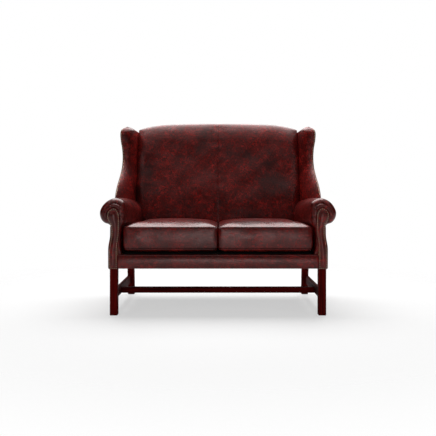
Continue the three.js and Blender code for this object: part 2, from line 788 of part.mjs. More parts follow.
// Wings. The front edge is a line of [height, outward, forward] shares, from the arm to the top lobe.
const wingEdgeShares = [
  [0, 0.91, 1], [0.095, 0.94, 0.865], [0.2, 0.95, 0.66], [0.31, 0.92, 0.44], [0.425, 0.88, 0.275],
  [0.565, 0.88, 0.165], [0.705, 0.92, 0.165], [0.81, 0.98, 0.215], [0.92, 1, 0.235], [0.98, 0.95, 0.2],
  [1, 0.84, 0.13],
];
const wingTopShares = [[0, 0.93], [0.35, 0.958], [0.72, 1], [1, 0.975]];
const wingHeight = wingTopZ - wingSpringZ;
const heightShare = (z) => (z - wingSpringZ) / wingHeight;
const outwardTable = wingEdgeShares.map(([height, outward]) => [height, outward]);
const forwardTable = wingEdgeShares.map(([height, , forward]) => [height, forward]);
const wingEdgeX = (z) => wingSeamX + wingFlare * lookUp(outwardTable, heightShare(z));
const wingEdgeY = (z) => wingWaistY - wingReach * lookUp(forwardTable, heightShare(z));
const wingOuterPower = 1.4;
const wingInnerPower = 1.15;

function wingOuterX(y, z) {
  const rearY = outsideBackY(z);
  const share = clamp((rearY - y) / (rearY - wingEdgeY(z)), 0, 1);
  return blend(wingRearX, wingEdgeX(z), share ** wingOuterPower);
}
function wingInnerX(y, z) {
  const seamY = outsideBackY(z) - backFaceDepth(backPadHalfWidth, z);
  const share = clamp((seamY - y) / (seamY - wingEdgeY(z)), 0, 1);
  return blend(wingSeamX, wingEdgeX(z) - 2 * wingEdgeRadius, share ** wingInnerPower);
}
const wingTopAt = (share) => blend(wingSpringZ, wingTopZ, lookUp(wingTopShares, share));

const wingLevelShares = [0, 0.085, 0.17, 0.255, 0.34, 0.425, 0.53, 0.64, 0.745, 0.85, 0.935, 1];
const wingRoundShares = [0, 0.3, 0.6, 0.85, 0.97];
const wingSideSteps = 8;
const wingArcSteps = 6;

// One level of a wing solid. layer gives the inner and outer side at (y, z); round closes the top.
function wingRing(levelOf, layer, frontInset, round) {
  const stations = Array.from({ length: wingSideSteps + 1 }, (_, step) => step / wingSideSteps);
  const place = (share) => {
    const z = levelOf(share);
    const rearY = outsideBackY(z) - armRearDepth;
    const frontY = wingEdgeY(z) + Math.max(frontInset, wingEdgeRadius);
    const y = blend(rearY, frontY, share);
    const [inner, outer] = layer(y, z);
    const middle = (inner + outer) / 2;
    return { y, z, inner: blend(middle, inner, round), outer: blend(middle, outer, round) };
  };
  const sides = stations.map(place);
  const tip = sides[sides.length - 1];
  const tipRadius = (tip.outer - tip.inner) / 2;
  const tipReach = frontInset < wingEdgeRadius ? (wingEdgeRadius - frontInset) * round : 0;
  const arc = [];
  for (let step = 1; tipReach > 0 && step < wingArcSteps; step += 1) {
    const angle = Math.PI * step / wingArcSteps;
    const x = tip.inner + tipRadius * (1 - Math.cos(angle));
    arc.push(new THREE.Vector3(x, tip.y - tipReach * Math.sin(angle), tip.z));
  }
  return [
    ...sides.map((p) => new THREE.Vector3(p.inner, p.y, p.z)),
    ...arc,
    ...sides.map((p) => new THREE.Vector3(p.outer, p.y, p.z)).reverse(),
  ];
}

function wingSolid(layer, frontInset, topInset, rounded) {
  const rings = wingLevelShares.map((level) => {
    const levelOf = (share) => blend(wingFootZ, wingTopAt(share) - topInset - wingTopRounding, level);
    return wingRing(levelOf, layer, frontInset, 1);
  });
  const closing = rounded ? wingRoundShares.slice(1) : [];
  for (const up of closing) {
    const levelOf = (share) => wingTopAt(share) - topInset - wingTopRounding * (1 - up);
    rings.push(wingRing(levelOf, layer, frontInset, Math.sqrt(1 - up * up)));
  }
  return loftRings(rings, ladderCap);
}

const layerBetween = (from, to) => (y, z) => [wingOuterX(y, z) - from, wingOuterX(y, z) - to];
const wingPadOuter = wingPanelThickness + 2 * gap;
const frameOuter = wingPadOuter + gap;
const frameInner = frameOuter + wingFrameThickness;
const armCutter = armGeometry(gap, false);
const wingZoneTopZ = backTopAt(backPadHalfWidth) - backRollDrop;
const wingZone = rearZone(backPadHalfWidth, wingRearX + cutOverrun, wingFootZ - cutOverrun, wingZoneTopZ);
const wingPadLayer = (y, z) => [wingInnerX(y, z), wingOuterX(y, z) - wingPadOuter];
const wingFrameRoomLayer = layerBetween(frameInner + wingFrameSlack, -cutOverrun);
const wingFrameRoom = wingSolid(wingFrameRoomLayer, wingFrameInset - wingFrameSlack, -wingFrameSlack, false);
const wingPad = cutBy(wingSolid(wingPadLayer, 0, 0, true), [wingFrameRoom, armCutter, wingZone]);
addPiece('inside_wing_right', wingPad, leather);
addPiece('inside_wing_left', mirrored(wingPad), leather);
const wingFrame = cutBy(wingSolid(layerBetween(frameInner, frameOuter), wingFrameInset, 0, false), [
  armCutter,
  wingZone,
]);
addPiece('wing_frame_right', wingFrame, frameWood);
addPiece('wing_frame_left', mirrored(wingFrame), frameWood);
const wingPanelLayer = layerBetween(wingPanelThickness, 0);
const wingPanel = cutBy(
  wingSolid(wingPanelLayer, wingEdgeRadius, wingPanelInset - wingTopRounding, false),
  [armCutter],
);
addPiece('outside_wing_right', wingPanel, leather);
addPiece('outside_wing_left', mirrored(wingPanel), leather);

// Seat cushions: a crowned box that narrows towards the back with the arms.
const cushionPlanSteps = 10;
const cushionCornerSteps = 4;
const crownPower = 3;
const crownShares = [0.12, 0.35, 0.6, 0.8, 0.92];
const cushionSideShares = [0, 0.2, 0.5, 0.8, 1];

// Point at a given distance from one corner towards another.
function stepTowards(from, to, distance) {
  const share = distance / Math.hypot(to[0] - from[0], to[1] - from[1]);
  return [blend(from[0], to[0], share), blend(from[1], to[1], share)];
}

// The cushion's outline in plan, with rounded corners, and the middle that it is drawn in towards.
function cushionPlan() {
  const innerX = cushionParting / 2 + cushionBulge;
  const frontY = cushionFrontSetback;
  const rearY = deckRearY - cushionRearGap;
  const frontOuterX = armFrontInnerX + cushionFrontTuck;
  const rearOuterX = armRearInnerX - cushionRearGapX;
  const corners = [[innerX, frontY], [frontOuterX, frontY], [rearOuterX, rearY], [innerX, rearY]];
  const outline = corners.flatMap((corner, i) => {
    const before = corners.at(i - 1);
    const after = corners[(i + 1) % corners.length];
    const start = stepTowards(corner, before, cushionCorner);
    const end = stepTowards(corner, after, cushionCorner);
    const nextStart = stepTowards(after, corner, cushionCorner);
    const points = [];
    for (let step = 0; step <= cushionCornerSteps; step += 1) {
      const t = step / cushionCornerSteps;
      points.push([0, 1].map((k) => blend(blend(start[k], corner[k], t), blend(corner[k], end[k], t), t)));
    }
    for (let step = 1; step < cushionPlanSteps; step += 1) {
      const t = step / cushionPlanSteps;
      points.push([0, 1].map((k) => blend(end[k], nextStart[k], t)));
    }
    return points;
  });
  return { outline, middle: [(innerX + frontOuterX) / 2, (frontY + rearY) / 2] };
}

// Levels from the underside up. The crowns shrink the plan to a share of itself, the sides bulge outward.
function cushionLevels() {
  const crown = (share) => 1 - share ** crownPower;
  const underside = crownShares.map((share) => (
    { share, outward: 0, z: cushionBottomZ + cushionUnderCrown * (1 - crown(share)) }
  ));
  const sides = cushionSideShares.map((up) => ({
    share: 1,
    outward: (cushionBulge + cushionSeamDraw) * Math.sin(Math.PI * up) - cushionSeamDraw,
    z: blend(cushionBottomZ + cushionUnderCrown, cushionSeamZ, up),
  }));
  const top = crownShares.map((share) => (
    { share, outward: 0, z: cushionSeamZ + cushionCrown * crown(share) }
  ));
  return [...underside, ...sides, ...top.reverse()];
}

function cushionGeometry() {
  const { outline, middle } = cushionPlan();
  const rings = cushionLevels().map(({ share, outward, z }) => outline.map(([x, y]) => {
    const away = Math.hypot(x - middle[0], y - middle[1]);
    const reach = share + outward / away;
    return new THREE.Vector3(blend(middle[0], x, reach), blend(middle[1], y, reach), z);
  }));
  return loftRings(rings, floorCap);
}
const cushion = cushionGeometry();
addPiece('seat_cushion_right', cushion, leather);
addPiece('seat_cushion_left', mirrored(cushion), leather);

// The origin lies on the floor under the middle of the settee's box.
const frontmostY = -facingThickness;
const rearmostY = outsideBackY(backTopZ - backRollDrop);
settee.position.y = -(frontmostY + rearmostY) / 2;

const group = new THREE.Group();
group.add(settee);

export default group;
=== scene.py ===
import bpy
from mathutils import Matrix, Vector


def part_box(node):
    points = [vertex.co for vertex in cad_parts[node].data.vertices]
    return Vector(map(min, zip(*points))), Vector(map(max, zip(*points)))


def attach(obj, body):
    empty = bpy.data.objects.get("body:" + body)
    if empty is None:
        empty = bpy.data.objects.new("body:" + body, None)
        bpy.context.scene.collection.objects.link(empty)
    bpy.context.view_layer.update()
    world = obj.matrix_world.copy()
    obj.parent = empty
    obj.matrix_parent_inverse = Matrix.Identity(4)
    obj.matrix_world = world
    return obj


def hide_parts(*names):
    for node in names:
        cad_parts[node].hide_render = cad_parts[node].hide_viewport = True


bl_info = {
    "name": "High Back Settee",
    "version": (1, 0, 0),
    "blender": (4, 5, 0),
    "location": "View3D > Sidebar > Settee",
    "description": "Dresses a two seat high back settee in rubbed leather, nails and stained wood",
    "category": "Object",
}

import math

import bmesh
import bpy
import numpy as np
from bpy.props import FloatProperty, FloatVectorProperty, IntProperty, PointerProperty
from mathutils import Vector
from mathutils.bvhtree import BVHTree

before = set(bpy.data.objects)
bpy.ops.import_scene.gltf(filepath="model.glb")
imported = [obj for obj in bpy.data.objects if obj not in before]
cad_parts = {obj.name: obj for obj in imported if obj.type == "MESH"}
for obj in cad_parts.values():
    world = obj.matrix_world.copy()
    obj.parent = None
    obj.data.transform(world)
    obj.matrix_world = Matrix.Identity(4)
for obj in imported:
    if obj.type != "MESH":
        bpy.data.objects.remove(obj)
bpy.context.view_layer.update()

# The forms below are drawn in millimetres. Their y counts backwards from the front faces of the front legs.
MM = 0.001
FRONT_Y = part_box("front_leg_right")[0][1]
FRAME_BODY = "settee_frame"
SIDES = {"right": 1, "left": -1}

# Seat and legs
LEG_OUTER_X = 605
LEG_SECTION = 43
FRAME_BOTTOM_Z = 262
LEG_TOP_Z = 336
REAR_LEG_Y = 686
REAR_FOOT_RAKE = 46
FOOT_CHAMFER = 2.5
SIDE_STRETCHER_Z = (76, 128)
STRETCHER_THICKNESS = 20
CENTRE_STRETCHER_AT = (340, 92.5)
CENTRE_STRETCHER_HALF = (22, 16.5)
EASED_CORNER = 1.8
JOINT_GAP = 0.3
BORDER_HALF_WIDTH = 560.8

# Arms
ARM_FOOT_Z = 342
ARM_NECK_Z = 499
ARM_LENGTH = 620
ARM_INNER = (518, 495)
ARM_OUTER = (666.5, 660)
ARM_TOP = (656, 648)
ROLL_ROUNDING = 38
ROLL_INSET = 31
FOOT_INSET = 5
SLOT_X = (561.7, 594.3)
SLOT_TOP_Z = 577.8
ROLL_CENTRE = (0.48, 0.5)
FRONT_ARM = np.array([
    [0.17, -1], [0.185, -0.6], [0.175, -0.2], [0.09, 0], [0.015, 0.12], [0, 0.35], [0, 0.62], [0.06, 0.84],
    [0.22, 0.965], [0.44, 1], [0.62, 0.945], [0.77, 0.85], [0.91, 0.7], [0.995, 0.5], [0.96, 0.27],
    [0.83, 0.125], [0.66, 0.055], [0.6, 0],
])
REAR_ARM = np.array([
    [0.02, -1], [0.01, -0.6], [0.005, -0.2], [0, 0], [0, 0.15], [0.005, 0.35], [0.07, 0.6], [0.2, 0.8],
    [0.37, 0.93], [0.54, 1], [0.68, 0.95], [0.8, 0.85], [0.92, 0.68], [1, 0.5], [0.96, 0.27],
    [0.83, 0.125], [0.7, 0.055], [0.665, 0],
])
FACING = np.array([
    [0.15, 0], [0.15, 0.33], [0.08, 0.485], [0.01, 0.565], [0, 0.65], [0, 0.86], [0.08, 0.94], [0.25, 0.985],
    [0.5, 1], [0.76, 0.975], [0.93, 0.93], [1, 0.875], [0.94, 0.81], [0.78, 0.755], [0.68, 0.7], [0.66, 0.56],
    [0.72, 0.47], [0.81, 0.36], [0.85, 0.28], [0.85, 0.03], [0.8, 0],
])
FACING_CORNER = (551.5, 258.5)
FACING_SIZE = (70, 343.5)
FACING_NAIL_INSET = 5.6

# Back
BACK_FOOT_Y = 735
BACK_SLOPE = 0.131
BACK_TOP_Z = 1154
BACK_HALF_WIDTH = 540
BACK_ROLL_DROP = 41
BACK_SHOULDER = (13, 72)
BACK_REAR_DEPTH = 49.2
BACK_PANEL_HALF_WIDTH = 603.7
PANEL_GAP = 6
WEB_DEPTH = 48.9
WEB_THICKNESS = 2.4

# Wings
WING_SPRING_Z = 640
WING_TOP_Z = 1114
WING_SEAM_X = 541.2
WING_REAR_X = 606
WING_FLARE = 100
WING_WAIST_Y = 700
WING_REACH = 365
WING_PANEL = 5.6
WING_LIP = 3.0
WING_SWELL = (0.2, 0.62, 0.72)
WING_LOBE = 29
WING_SUNK = 2.5
WING_BOARD = (6.5, 20, 26.5)
WING_BEVEL = (12, 76)
WING_TOP_ROUNDING = (6, 58)
WING_EDGE = np.array([
    [0, 0.91, 1], [0.095, 0.94, 0.865], [0.2, 0.95, 0.66], [0.31, 0.92, 0.44], [0.425, 0.88, 0.275],
    [0.565, 0.88, 0.165], [0.705, 0.92, 0.165], [0.81, 0.98, 0.215], [0.92, 1, 0.235], [0.98, 0.985, 0.2],
    [1, 0.95, 0.16],
])
WING_TOP = np.array([[0, 0.962], [0.3, 0.972], [0.7, 1.013], [1, 1.01]])

# Cushions
CUSHION_BOTTOM_Z = 354
CUSHION_SEAM_Z = 493
CUSHION_LOWER_SEAM_Z = 374
CUSHION_TOP_Z = 527
FILLING_STEPS = 20

# Studio, in metres
CURTAIN_RADIUS = 7
CURTAIN_HEIGHT = 6
FLOOR_PALENESS = 0.55


def blend(start, end, share):
    return start + (end - start) * share


def bezier(share, a, b, c, d):
    rest = 1 - share
    return a * rest**3 + 3 * b * share * rest**2 + 3 * c * share**2 * rest + d * share**3


def ease(share):
    return (1 - np.cos(np.pi * np.clip(share, 0, 1))) / 2


def in_row(points):
    """Millimetres as drawn here, in the row frame's metres."""
    placed = np.array(points, dtype=float) * MM
    placed[..., 1] += FRONT_Y
    return placed


def smooth_line(points, samples):
    """Smooth curve through points, with an even number of steps between each pair of them."""
    points = np.asarray(points, dtype=float)
    padded = np.vstack([2 * points[0] - points[1], points, 2 * points[-1] - points[-2]])
    place = np.linspace(0, len(points) - 1, samples)
    start = np.minimum(place.astype(int), len(points) - 2)
    share = (place - start)[:, None]
    a, b, c, d = (padded[start + k] for k in range(4))
    first, middle, last = (np.sqrt(np.linalg.norm(q - p, axis=1))[:, None] for p, q in ((a, b), (b, c), (c, d)))
    leave = ((b - a) / first - (c - a) / (first + middle) + (c - b) / middle) * middle
    arrive = ((c - b) / middle - (d - b) / (middle + last) + (d - c) / last) * middle
    return (b + leave * share + (3 * (c - b) - 2 * leave - arrive) * share**2
            + (2 * (b - c) + leave + arrive) * share**3)


def look_up(table, column, place):
    """Value of a column at a place, eased between the rows of the table."""
    keys, values = table[:, 0], table[:, column]
    place = np.clip(place, keys[0], keys[-1])
    row = np.clip(np.searchsorted(keys, place, side="left") - 1, 0, len(keys) - 2)
    before, after = np.maximum(row - 1, 0), np.minimum(row + 2, len(keys) - 1)
    span = keys[row + 1] - keys[row]
    share = (place - keys[row]) / span
    leave = (values[row + 1] - values[before]) / (keys[row + 1] - keys[before]) * span
    arrive = (values[after] - values[row]) / (keys[after] - keys[row]) * span
    rise = values[row + 1] - values[row]
    return (values[row] + leave * share + (3 * rise - 2 * leave - arrive) * share**2
            + (leave + arrive - 2 * rise) * share**3)


def ripple(points, wavelength, amount, seed):
    """Slow unevenness over a surface, the same on each run."""
    dice = np.random.default_rng(seed)
    total = np.zeros(np.shape(points)[:-1])
    for _ in range(7):
        direction = dice.normal(size=3)
        direction /= np.linalg.norm(direction)
        turn = 2 * np.pi / (wavelength * dice.uniform(0.6, 1.5))
        total += np.sin(points @ direction * turn + dice.uniform(0, 2 * np.pi))
    return amount * total / 2.6


def grid_normals(grid):
    """Unit normals of a grid of points, in the direction of rows across columns."""
    normals = np.cross(np.gradient(grid, axis=0), np.gradient(grid, axis=1))
    return normals / np.maximum(np.linalg.norm(normals, axis=-1, keepdims=True), 1e-9)


def grid_faces(rows, columns, around=False, start=0):
    """Faces of a grid. around joins its last column to its first."""
    faces = []
    for row in range(rows - 1):
        for i in range(columns if around else columns - 1):
            a, b = start + row * columns + i, start + row * columns + (i + 1) % columns
            faces.append((a, b, b + columns, a + columns))
    return faces


def loft(rings):
    """Closed form over rings that all have the same number of points."""
    rows, count = rings.shape[:2]
    faces = grid_faces(rows, count, around=True)
    faces.append(tuple(range(count)))
    faces.append(tuple(range((rows - 1) * count, rows * count)))
    return rings.reshape(-1, 3), faces


def sheet_solid(front, rear):
    """Closed form between two grids of the same size."""
    rows, columns = front.shape[:2]
    count = rows * columns
    faces = grid_faces(rows, columns) + [face[::-1] for face in grid_faces(rows, columns, start=count)]
    edge = [*range(columns), *(row * columns + columns - 1 for row in range(1, rows)),
            *range(count - 2, count - columns - 1, -1), *(row * columns for row in range(rows - 2, 0, -1))]
    for a, b in zip(edge, edge[1:] + edge[:1]):
        faces.append((b, a, a + count, b + count))
    return np.concatenate([front.reshape(-1, 3), rear.reshape(-1, 3)]), faces


def tube(path, radius, closed=False, sides=8):
    """Round cord along a path, such as the piping in a seam."""
    path = np.asarray(path, dtype=float)
    if closed:
        along = np.roll(path, -1, axis=0) - np.roll(path, 1, axis=0)
    else:
        along = np.gradient(path, axis=0)
    along /= np.linalg.norm(along, axis=1, keepdims=True)
    across = np.cross(along[0], (0.31, 0.17, 0.94))
    rings = []
    for point, way in zip(path, along):
        across = across - way * (across @ way)
        across /= np.linalg.norm(across)
        up = np.cross(way, across)
        turns = np.arange(sides) * 2 * np.pi / sides
        rings.append(point + radius * (np.outer(np.cos(turns), across) + np.outer(np.sin(turns), up)))
    rings = np.array(rings)
    if not closed:
        return loft(rings)
    faces = grid_faces(len(rings), sides, around=True)
    last = (len(rings) - 1) * sides
    faces += [(last + i, last + (i + 1) % sides, (i + 1) % sides, i) for i in range(sides)]
    return rings.reshape(-1, 3), faces


def join_forms(forms):
    """Several forms as one list of points and one of faces."""
    points, faces, start = [], [], 0
    for form_points, form_faces in forms:
        points.append(form_points)
        faces += [tuple(i + start for i in face) for face in form_faces]
        start += len(form_points)
    return np.concatenate(points), faces


def even_steps(path, pitch, closed=False):
    """Points at one pitch along a path, with the path's direction at each."""
    path = np.asarray(path, dtype=float)
    if closed:
        path = np.vstack([path, path[:1]])
    lengths = np.concatenate([[0], np.cumsum(np.linalg.norm(np.diff(path, axis=0), axis=1))])
    count = max(2, round(lengths[-1] / pitch))
    places = np.linspace(0, lengths[-1], count + 1)
    places = places[:-1] if closed else places

    def at(distances):
        return np.stack([np.interp(distances, lengths, path[:, k]) for k in range(path.shape[1])], axis=1)

    return at(places), at(np.minimum(places + 1, lengths[-1])) - at(np.maximum(places - 1, 0))


def nails(places, outward, radius):
    """Low domed nail heads, each a little different in its seat."""
    dice = np.random.default_rng(11)
    sides, levels = 10, (1.0, 0.93, 0.72, 0.4)
    forms = []
    for place, out in zip(places, outward):
        out = out / np.linalg.norm(out) + dice.normal(size=3) * 0.05
        out /= np.linalg.norm(out)
        side = np.cross(out, (0.2, 0.5, 0.84))
        side /= np.linalg.norm(side)
        up = np.cross(out, side)
        turns = np.arange(sides) * 2 * np.pi / sides
        size = radius * dice.uniform(0.95, 1.04)
        circle = np.outer(np.cos(turns), side) + np.outer(np.sin(turns), up)
        rings = [place - out * size * 0.35 + size * 0.9 * circle]
        for level in levels:
            height = size * 0.55 * math.sqrt(max(0, 1 - (level * 0.98) ** 2))
            rings.append(place + out * height + size * level * circle)
        forms.append(loft(np.array(rings)))
    return join_forms(forms)


def new_object(name, data):
    """Object in the scene with its mesh, lamp or camera."""
    made = bpy.data.objects.new(name, data)
    bpy.context.scene.collection.objects.link(made)
    return made


def with_modifiers(source):
    """Mesh of an object as its modifiers leave it."""
    return bpy.data.meshes.new_from_object(source.evaluated_get(bpy.context.evaluated_depsgraph_get()))


def make_piece(name, form, finish, body=FRAME_BODY, replaces=(), crease=50):
    """Mesh object in the row frame, riding on a body."""
    points, faces = form
    mesh = bpy.data.meshes.new(name)
    mesh.from_pydata(in_row(points).tolist(), [], faces)
    shaped = bmesh.new()
    shaped.from_mesh(mesh)
    bmesh.ops.remove_doubles(shaped, verts=shaped.verts, dist=0.00002)
    bmesh.ops.dissolve_degenerate(shaped, edges=shaped.edges, dist=0.00001)
    bmesh.ops.recalc_face_normals(shaped, faces=shaped.faces)
    for face in shaped.faces:
        face.smooth = True
    shaped.to_mesh(mesh)
    shaped.free()
    mesh.set_sharp_from_angle(angle=math.radians(crease))
    piece = new_object(name, mesh)
    mesh.materials.append(finish)
    settle(piece, body, replaces)
    return piece


def settle(piece, body, replaces):
    """Hangs a piece on the body that it rides on and hides the CAD nodes that it stands for."""
    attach(piece, body)
    if replaces:
        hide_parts(*replaces)


def form_of(source):
    """The form of a piece, or of a hidden CAD node, in the millimetres drawn here."""
    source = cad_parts[source] if isinstance(source, str) else source
    points = np.array([source.matrix_world @ vertex.co for vertex in source.data.vertices]) / MM
    return points - np.array([0, FRONT_Y / MM, 0]), [tuple(face.vertices) for face in source.data.polygons]


def carve(piece, forms, clear=0.5, crease=50, folded=False):
    """Cuts from a piece the room that its neighbours and the hidden frame take, with a little air round them."""
    tools = []
    for points, faces in forms:
        mesh = bpy.data.meshes.new("room")
        mesh.from_pydata(in_row(points).tolist(), [], faces)
        shaped = bmesh.new()
        shaped.from_mesh(mesh)
        bmesh.ops.remove_doubles(shaped, verts=shaped.verts, dist=0.00002)
        bmesh.ops.recalc_face_normals(shaped, faces=shaped.faces)
        shaped.normal_update()
        for vertex, offset in [(v, v.normal * v.calc_shell_factor() * clear * MM) for v in shaped.verts]:
            vertex.co += offset
        shaped.to_mesh(mesh)
        shaped.free()
        tool = new_object("room", mesh)
        tools.append(tool)
        cut = piece.modifiers.new("Room", "BOOLEAN")
        cut.operation, cut.solver, cut.object = "DIFFERENCE", "EXACT", tool
        cut.use_self = folded
    carved = with_modifiers(piece)
    piece.modifiers.clear()
    piece.data = carved
    carved.set_sharp_from_angle(angle=math.radians(crease))
    for tool in tools:
        bpy.data.objects.remove(tool)


def on_side(form, side):
    """The same form for the left or right of the settee."""
    points, faces = form
    return points * np.array([side, 1, 1]), faces


def outside_back_y(z):
    return BACK_FOOT_Y + BACK_SLOPE * (z - FRAME_BOTTOM_Z)


def back_top_at(x):
    across = np.abs(x)
    return BACK_TOP_Z - 7 * (across / 360) ** 2 - 22 * (np.maximum(0, across - 330) / 196) ** 2


def back_face_depth(x, z):
    """How far the inside back's face stands in front of the outside back."""
    across = np.abs(x)
    taper = 176 - 0.127 * (z - ARM_FOOT_Z)
    lumbar = 10 * np.exp(-(((z - 640) / 150) ** 2))
    crown = 14 * (1 - np.abs((across - 270) / 270) ** 3)
    edge = np.maximum(0, 1 - (BACK_HALF_WIDTH - across) / 60)
    return taper + lumbar + crown - 15 * edge**2


def arm_outline(y, samples=38):
    """Section of the padded arm at one distance behind the front, from its foot over the roll to its neck."""
    share = ease(y / ARM_LENGTH)
    inner, outer = blend(*ARM_INNER, share), blend(*ARM_OUTER, share)
    top = blend(*ARM_TOP, share)
    roll = np.clip(1 - y / ROLL_ROUNDING, 0, 1)
    pinch = 1 - math.sqrt(1 - roll * roll)
    shares = blend(FRONT_ARM, REAR_ARM, share)

    def place(across, up):
        z = np.where(up < 0, blend(ARM_NECK_Z, ARM_FOOT_Z, -up), blend(ARM_NECK_Z, top, up))
        return np.stack([blend(inner, outer, across), z], axis=-1)

    points = place(shares[:, 0], shares[:, 1])
    centre = place(np.array(ROLL_CENTRE[0]), np.array(ROLL_CENTRE[1]))
    inward = centre - points
    inward /= np.linalg.norm(inward, axis=1, keepdims=True)
    below = shares[:, 1] < 0
    moved = np.where(below[:, None], points + [FOOT_INSET * pinch, 0], points + inward * ROLL_INSET * pinch)
    return smooth_line(moved, samples)


ARM_TOP_YS = np.arange(0, 781, 10)
ARM_TOP_XS = np.arange(520, 661, 2)


def arm_top_table():
    """Height of the arm's upper surface over a grid of y and x."""
    rows = []
    for y in ARM_TOP_YS:
        line = arm_outline(y, 150)
        upper = line[:line[:, 0].argmax() + 1]
        upper = upper[upper[:, 1] > ARM_NECK_Z + 50]
        order = np.argsort(upper[:, 0])
        rows.append(np.interp(ARM_TOP_XS, upper[order, 0], upper[order, 1]))
    return np.array(rows)


def arm_top_z(x, y):
    row = np.clip((np.asarray(y) - ARM_TOP_YS[0]) / 10, 0, len(ARM_TOP_YS) - 1.001)
    column = np.clip((np.asarray(x) - ARM_TOP_XS[0]) / 2, 0, len(ARM_TOP_XS) - 1.001)
    r, c = row.astype(int), column.astype(int)
    u, v = row - r, column - c
    near = blend(ARM_TOPS[r, c], ARM_TOPS[r, c + 1], v)
    far = blend(ARM_TOPS[r + 1, c], ARM_TOPS[r + 1, c + 1], v)
    return blend(near, far, u)


ARM_TOPS = arm_top_table()


def facing_outline(samples=240):
    """Outline of the keyhole facing in x and z, evenly spaced."""
    corner, size = np.array(FACING_CORNER), np.array(FACING_SIZE)
    line = smooth_line(corner + FACING * size, 400)
    steps, _ = even_steps(line, np.linalg.norm(np.diff(line, axis=0), axis=1).sum() / samples)
    return steps


def distance_to(points, line):
    """Distance from each point to a closed line in the plane, and the nearest place on it."""
    start, end = line, np.roll(line, -1, axis=0)
    way = end - start
    best = np.full(len(points), 1e9)
    nearest = np.zeros((len(points), 2))
    for a, w in zip(start, way):
        share = np.clip(((points - a) @ w) / max(w @ w, 1e-9), 0, 1)
        foot = a + share[:, None] * w
        away = np.linalg.norm(points - foot, axis=1)
        closer = away < best
        best[closer], nearest[closer] = away[closer], foot[closer]
    return best, nearest


def wing_edge_x(z):
    return WING_SEAM_X + WING_FLARE * look_up(WING_EDGE, 1, (z - WING_SPRING_Z) / (WING_TOP_Z - WING_SPRING_Z))


def wing_edge_y(z):
    return WING_WAIST_Y - WING_REACH * look_up(WING_EDGE, 2, (z - WING_SPRING_Z) / (WING_TOP_Z - WING_SPRING_Z))


def wing_outer_x(y, z):
    rear = outside_back_y(z)
    share = np.clip((rear - y) / (rear - wing_edge_y(z)), 0, 1)
    return blend(WING_REAR_X, wing_edge_x(z), share**1.4)


def wing_top_at(share):
    return blend(WING_SPRING_Z, WING_TOP_Z, look_up(WING_TOP, 1, share))


def add_node(tree, kind, inputs=(), **settings):
    """Node with its settings made and its inputs linked or filled."""
    node = tree.nodes.new(kind)
    for key, value in settings.items():
        setattr(node, key, value)
    for key, value in dict(inputs).items():
        socket = node.inputs[key]
        if isinstance(value, bpy.types.NodeSocket):
            tree.links.new(value, socket)
        else:
            socket.default_value = value
    return node


def new_group(name, inputs, outputs):
    """Empty node group with named inputs and outputs."""
    tree = bpy.data.node_groups.new(name, "ShaderNodeTree")
    for label, kind, value in inputs:
        socket = tree.interface.new_socket(label, in_out="INPUT", socket_type=kind)
        socket.default_value = value
    for label, kind in outputs:
        tree.interface.new_socket(label, in_out="OUTPUT", socket_type=kind)
    given = tree.nodes.new("NodeGroupInput").outputs
    wanted = tree.nodes.new("NodeGroupOutput").inputs
    return tree, given, wanted


def object_place(tree, stretch=(1, 1, 1)):
    """Place on the object in metres, stretched along each axis."""
    place = add_node(tree, "ShaderNodeTexCoord").outputs["Object"]
    if stretch == (1, 1, 1):
        return place
    return add_node(tree, "ShaderNodeMapping", {"Vector": place, "Scale": stretch}).outputs["Vector"]


def noise_value(tree, place, scale, detail=2.0, roughness=0.5, distortion=0.0):
    inputs = {"Vector": place, "Scale": scale, "Detail": detail, "Roughness": roughness, "Distortion": distortion}
    return add_node(tree, "ShaderNodeTexNoise", inputs).outputs["Fac"]


def spread(tree, value, low, high, to_low=0.0, to_high=1.0):
    """Value stretched from one range to another and held there."""
    inputs = {"Value": value, "From Min": low, "From Max": high, "To Min": to_low, "To Max": to_high}
    return add_node(tree, "ShaderNodeMapRange", inputs, interpolation_type="SMOOTHSTEP").outputs["Result"]


def maths(tree, operation, a, b=0.0, clamp=False):
    return add_node(tree, "ShaderNodeMath", {0: a, 1: b}, operation=operation, use_clamp=clamp).outputs[0]


def times(tree, a, b, clamp=False):
    return maths(tree, "MULTIPLY", a, b, clamp)


def plus(tree, a, b, clamp=False):
    return maths(tree, "ADD", a, b, clamp)


def mix_colour(tree, share, a, b, mode="MIX"):
    node = add_node(tree, "ShaderNodeMix", data_type="RGBA", blend_type=mode)
    for socket, value in ((node.inputs[0], share), (node.inputs[6], a), (node.inputs[7], b)):
        if isinstance(value, bpy.types.NodeSocket):
            tree.links.new(value, socket)
        else:
            socket.default_value = value
    return node.outputs[2]


COLOUR = "NodeSocketColor"
NUMBER = "NodeSocketFloat"
VECTOR = "NodeSocketVector"
GREY = (0.5, 0.5, 0.5, 1)


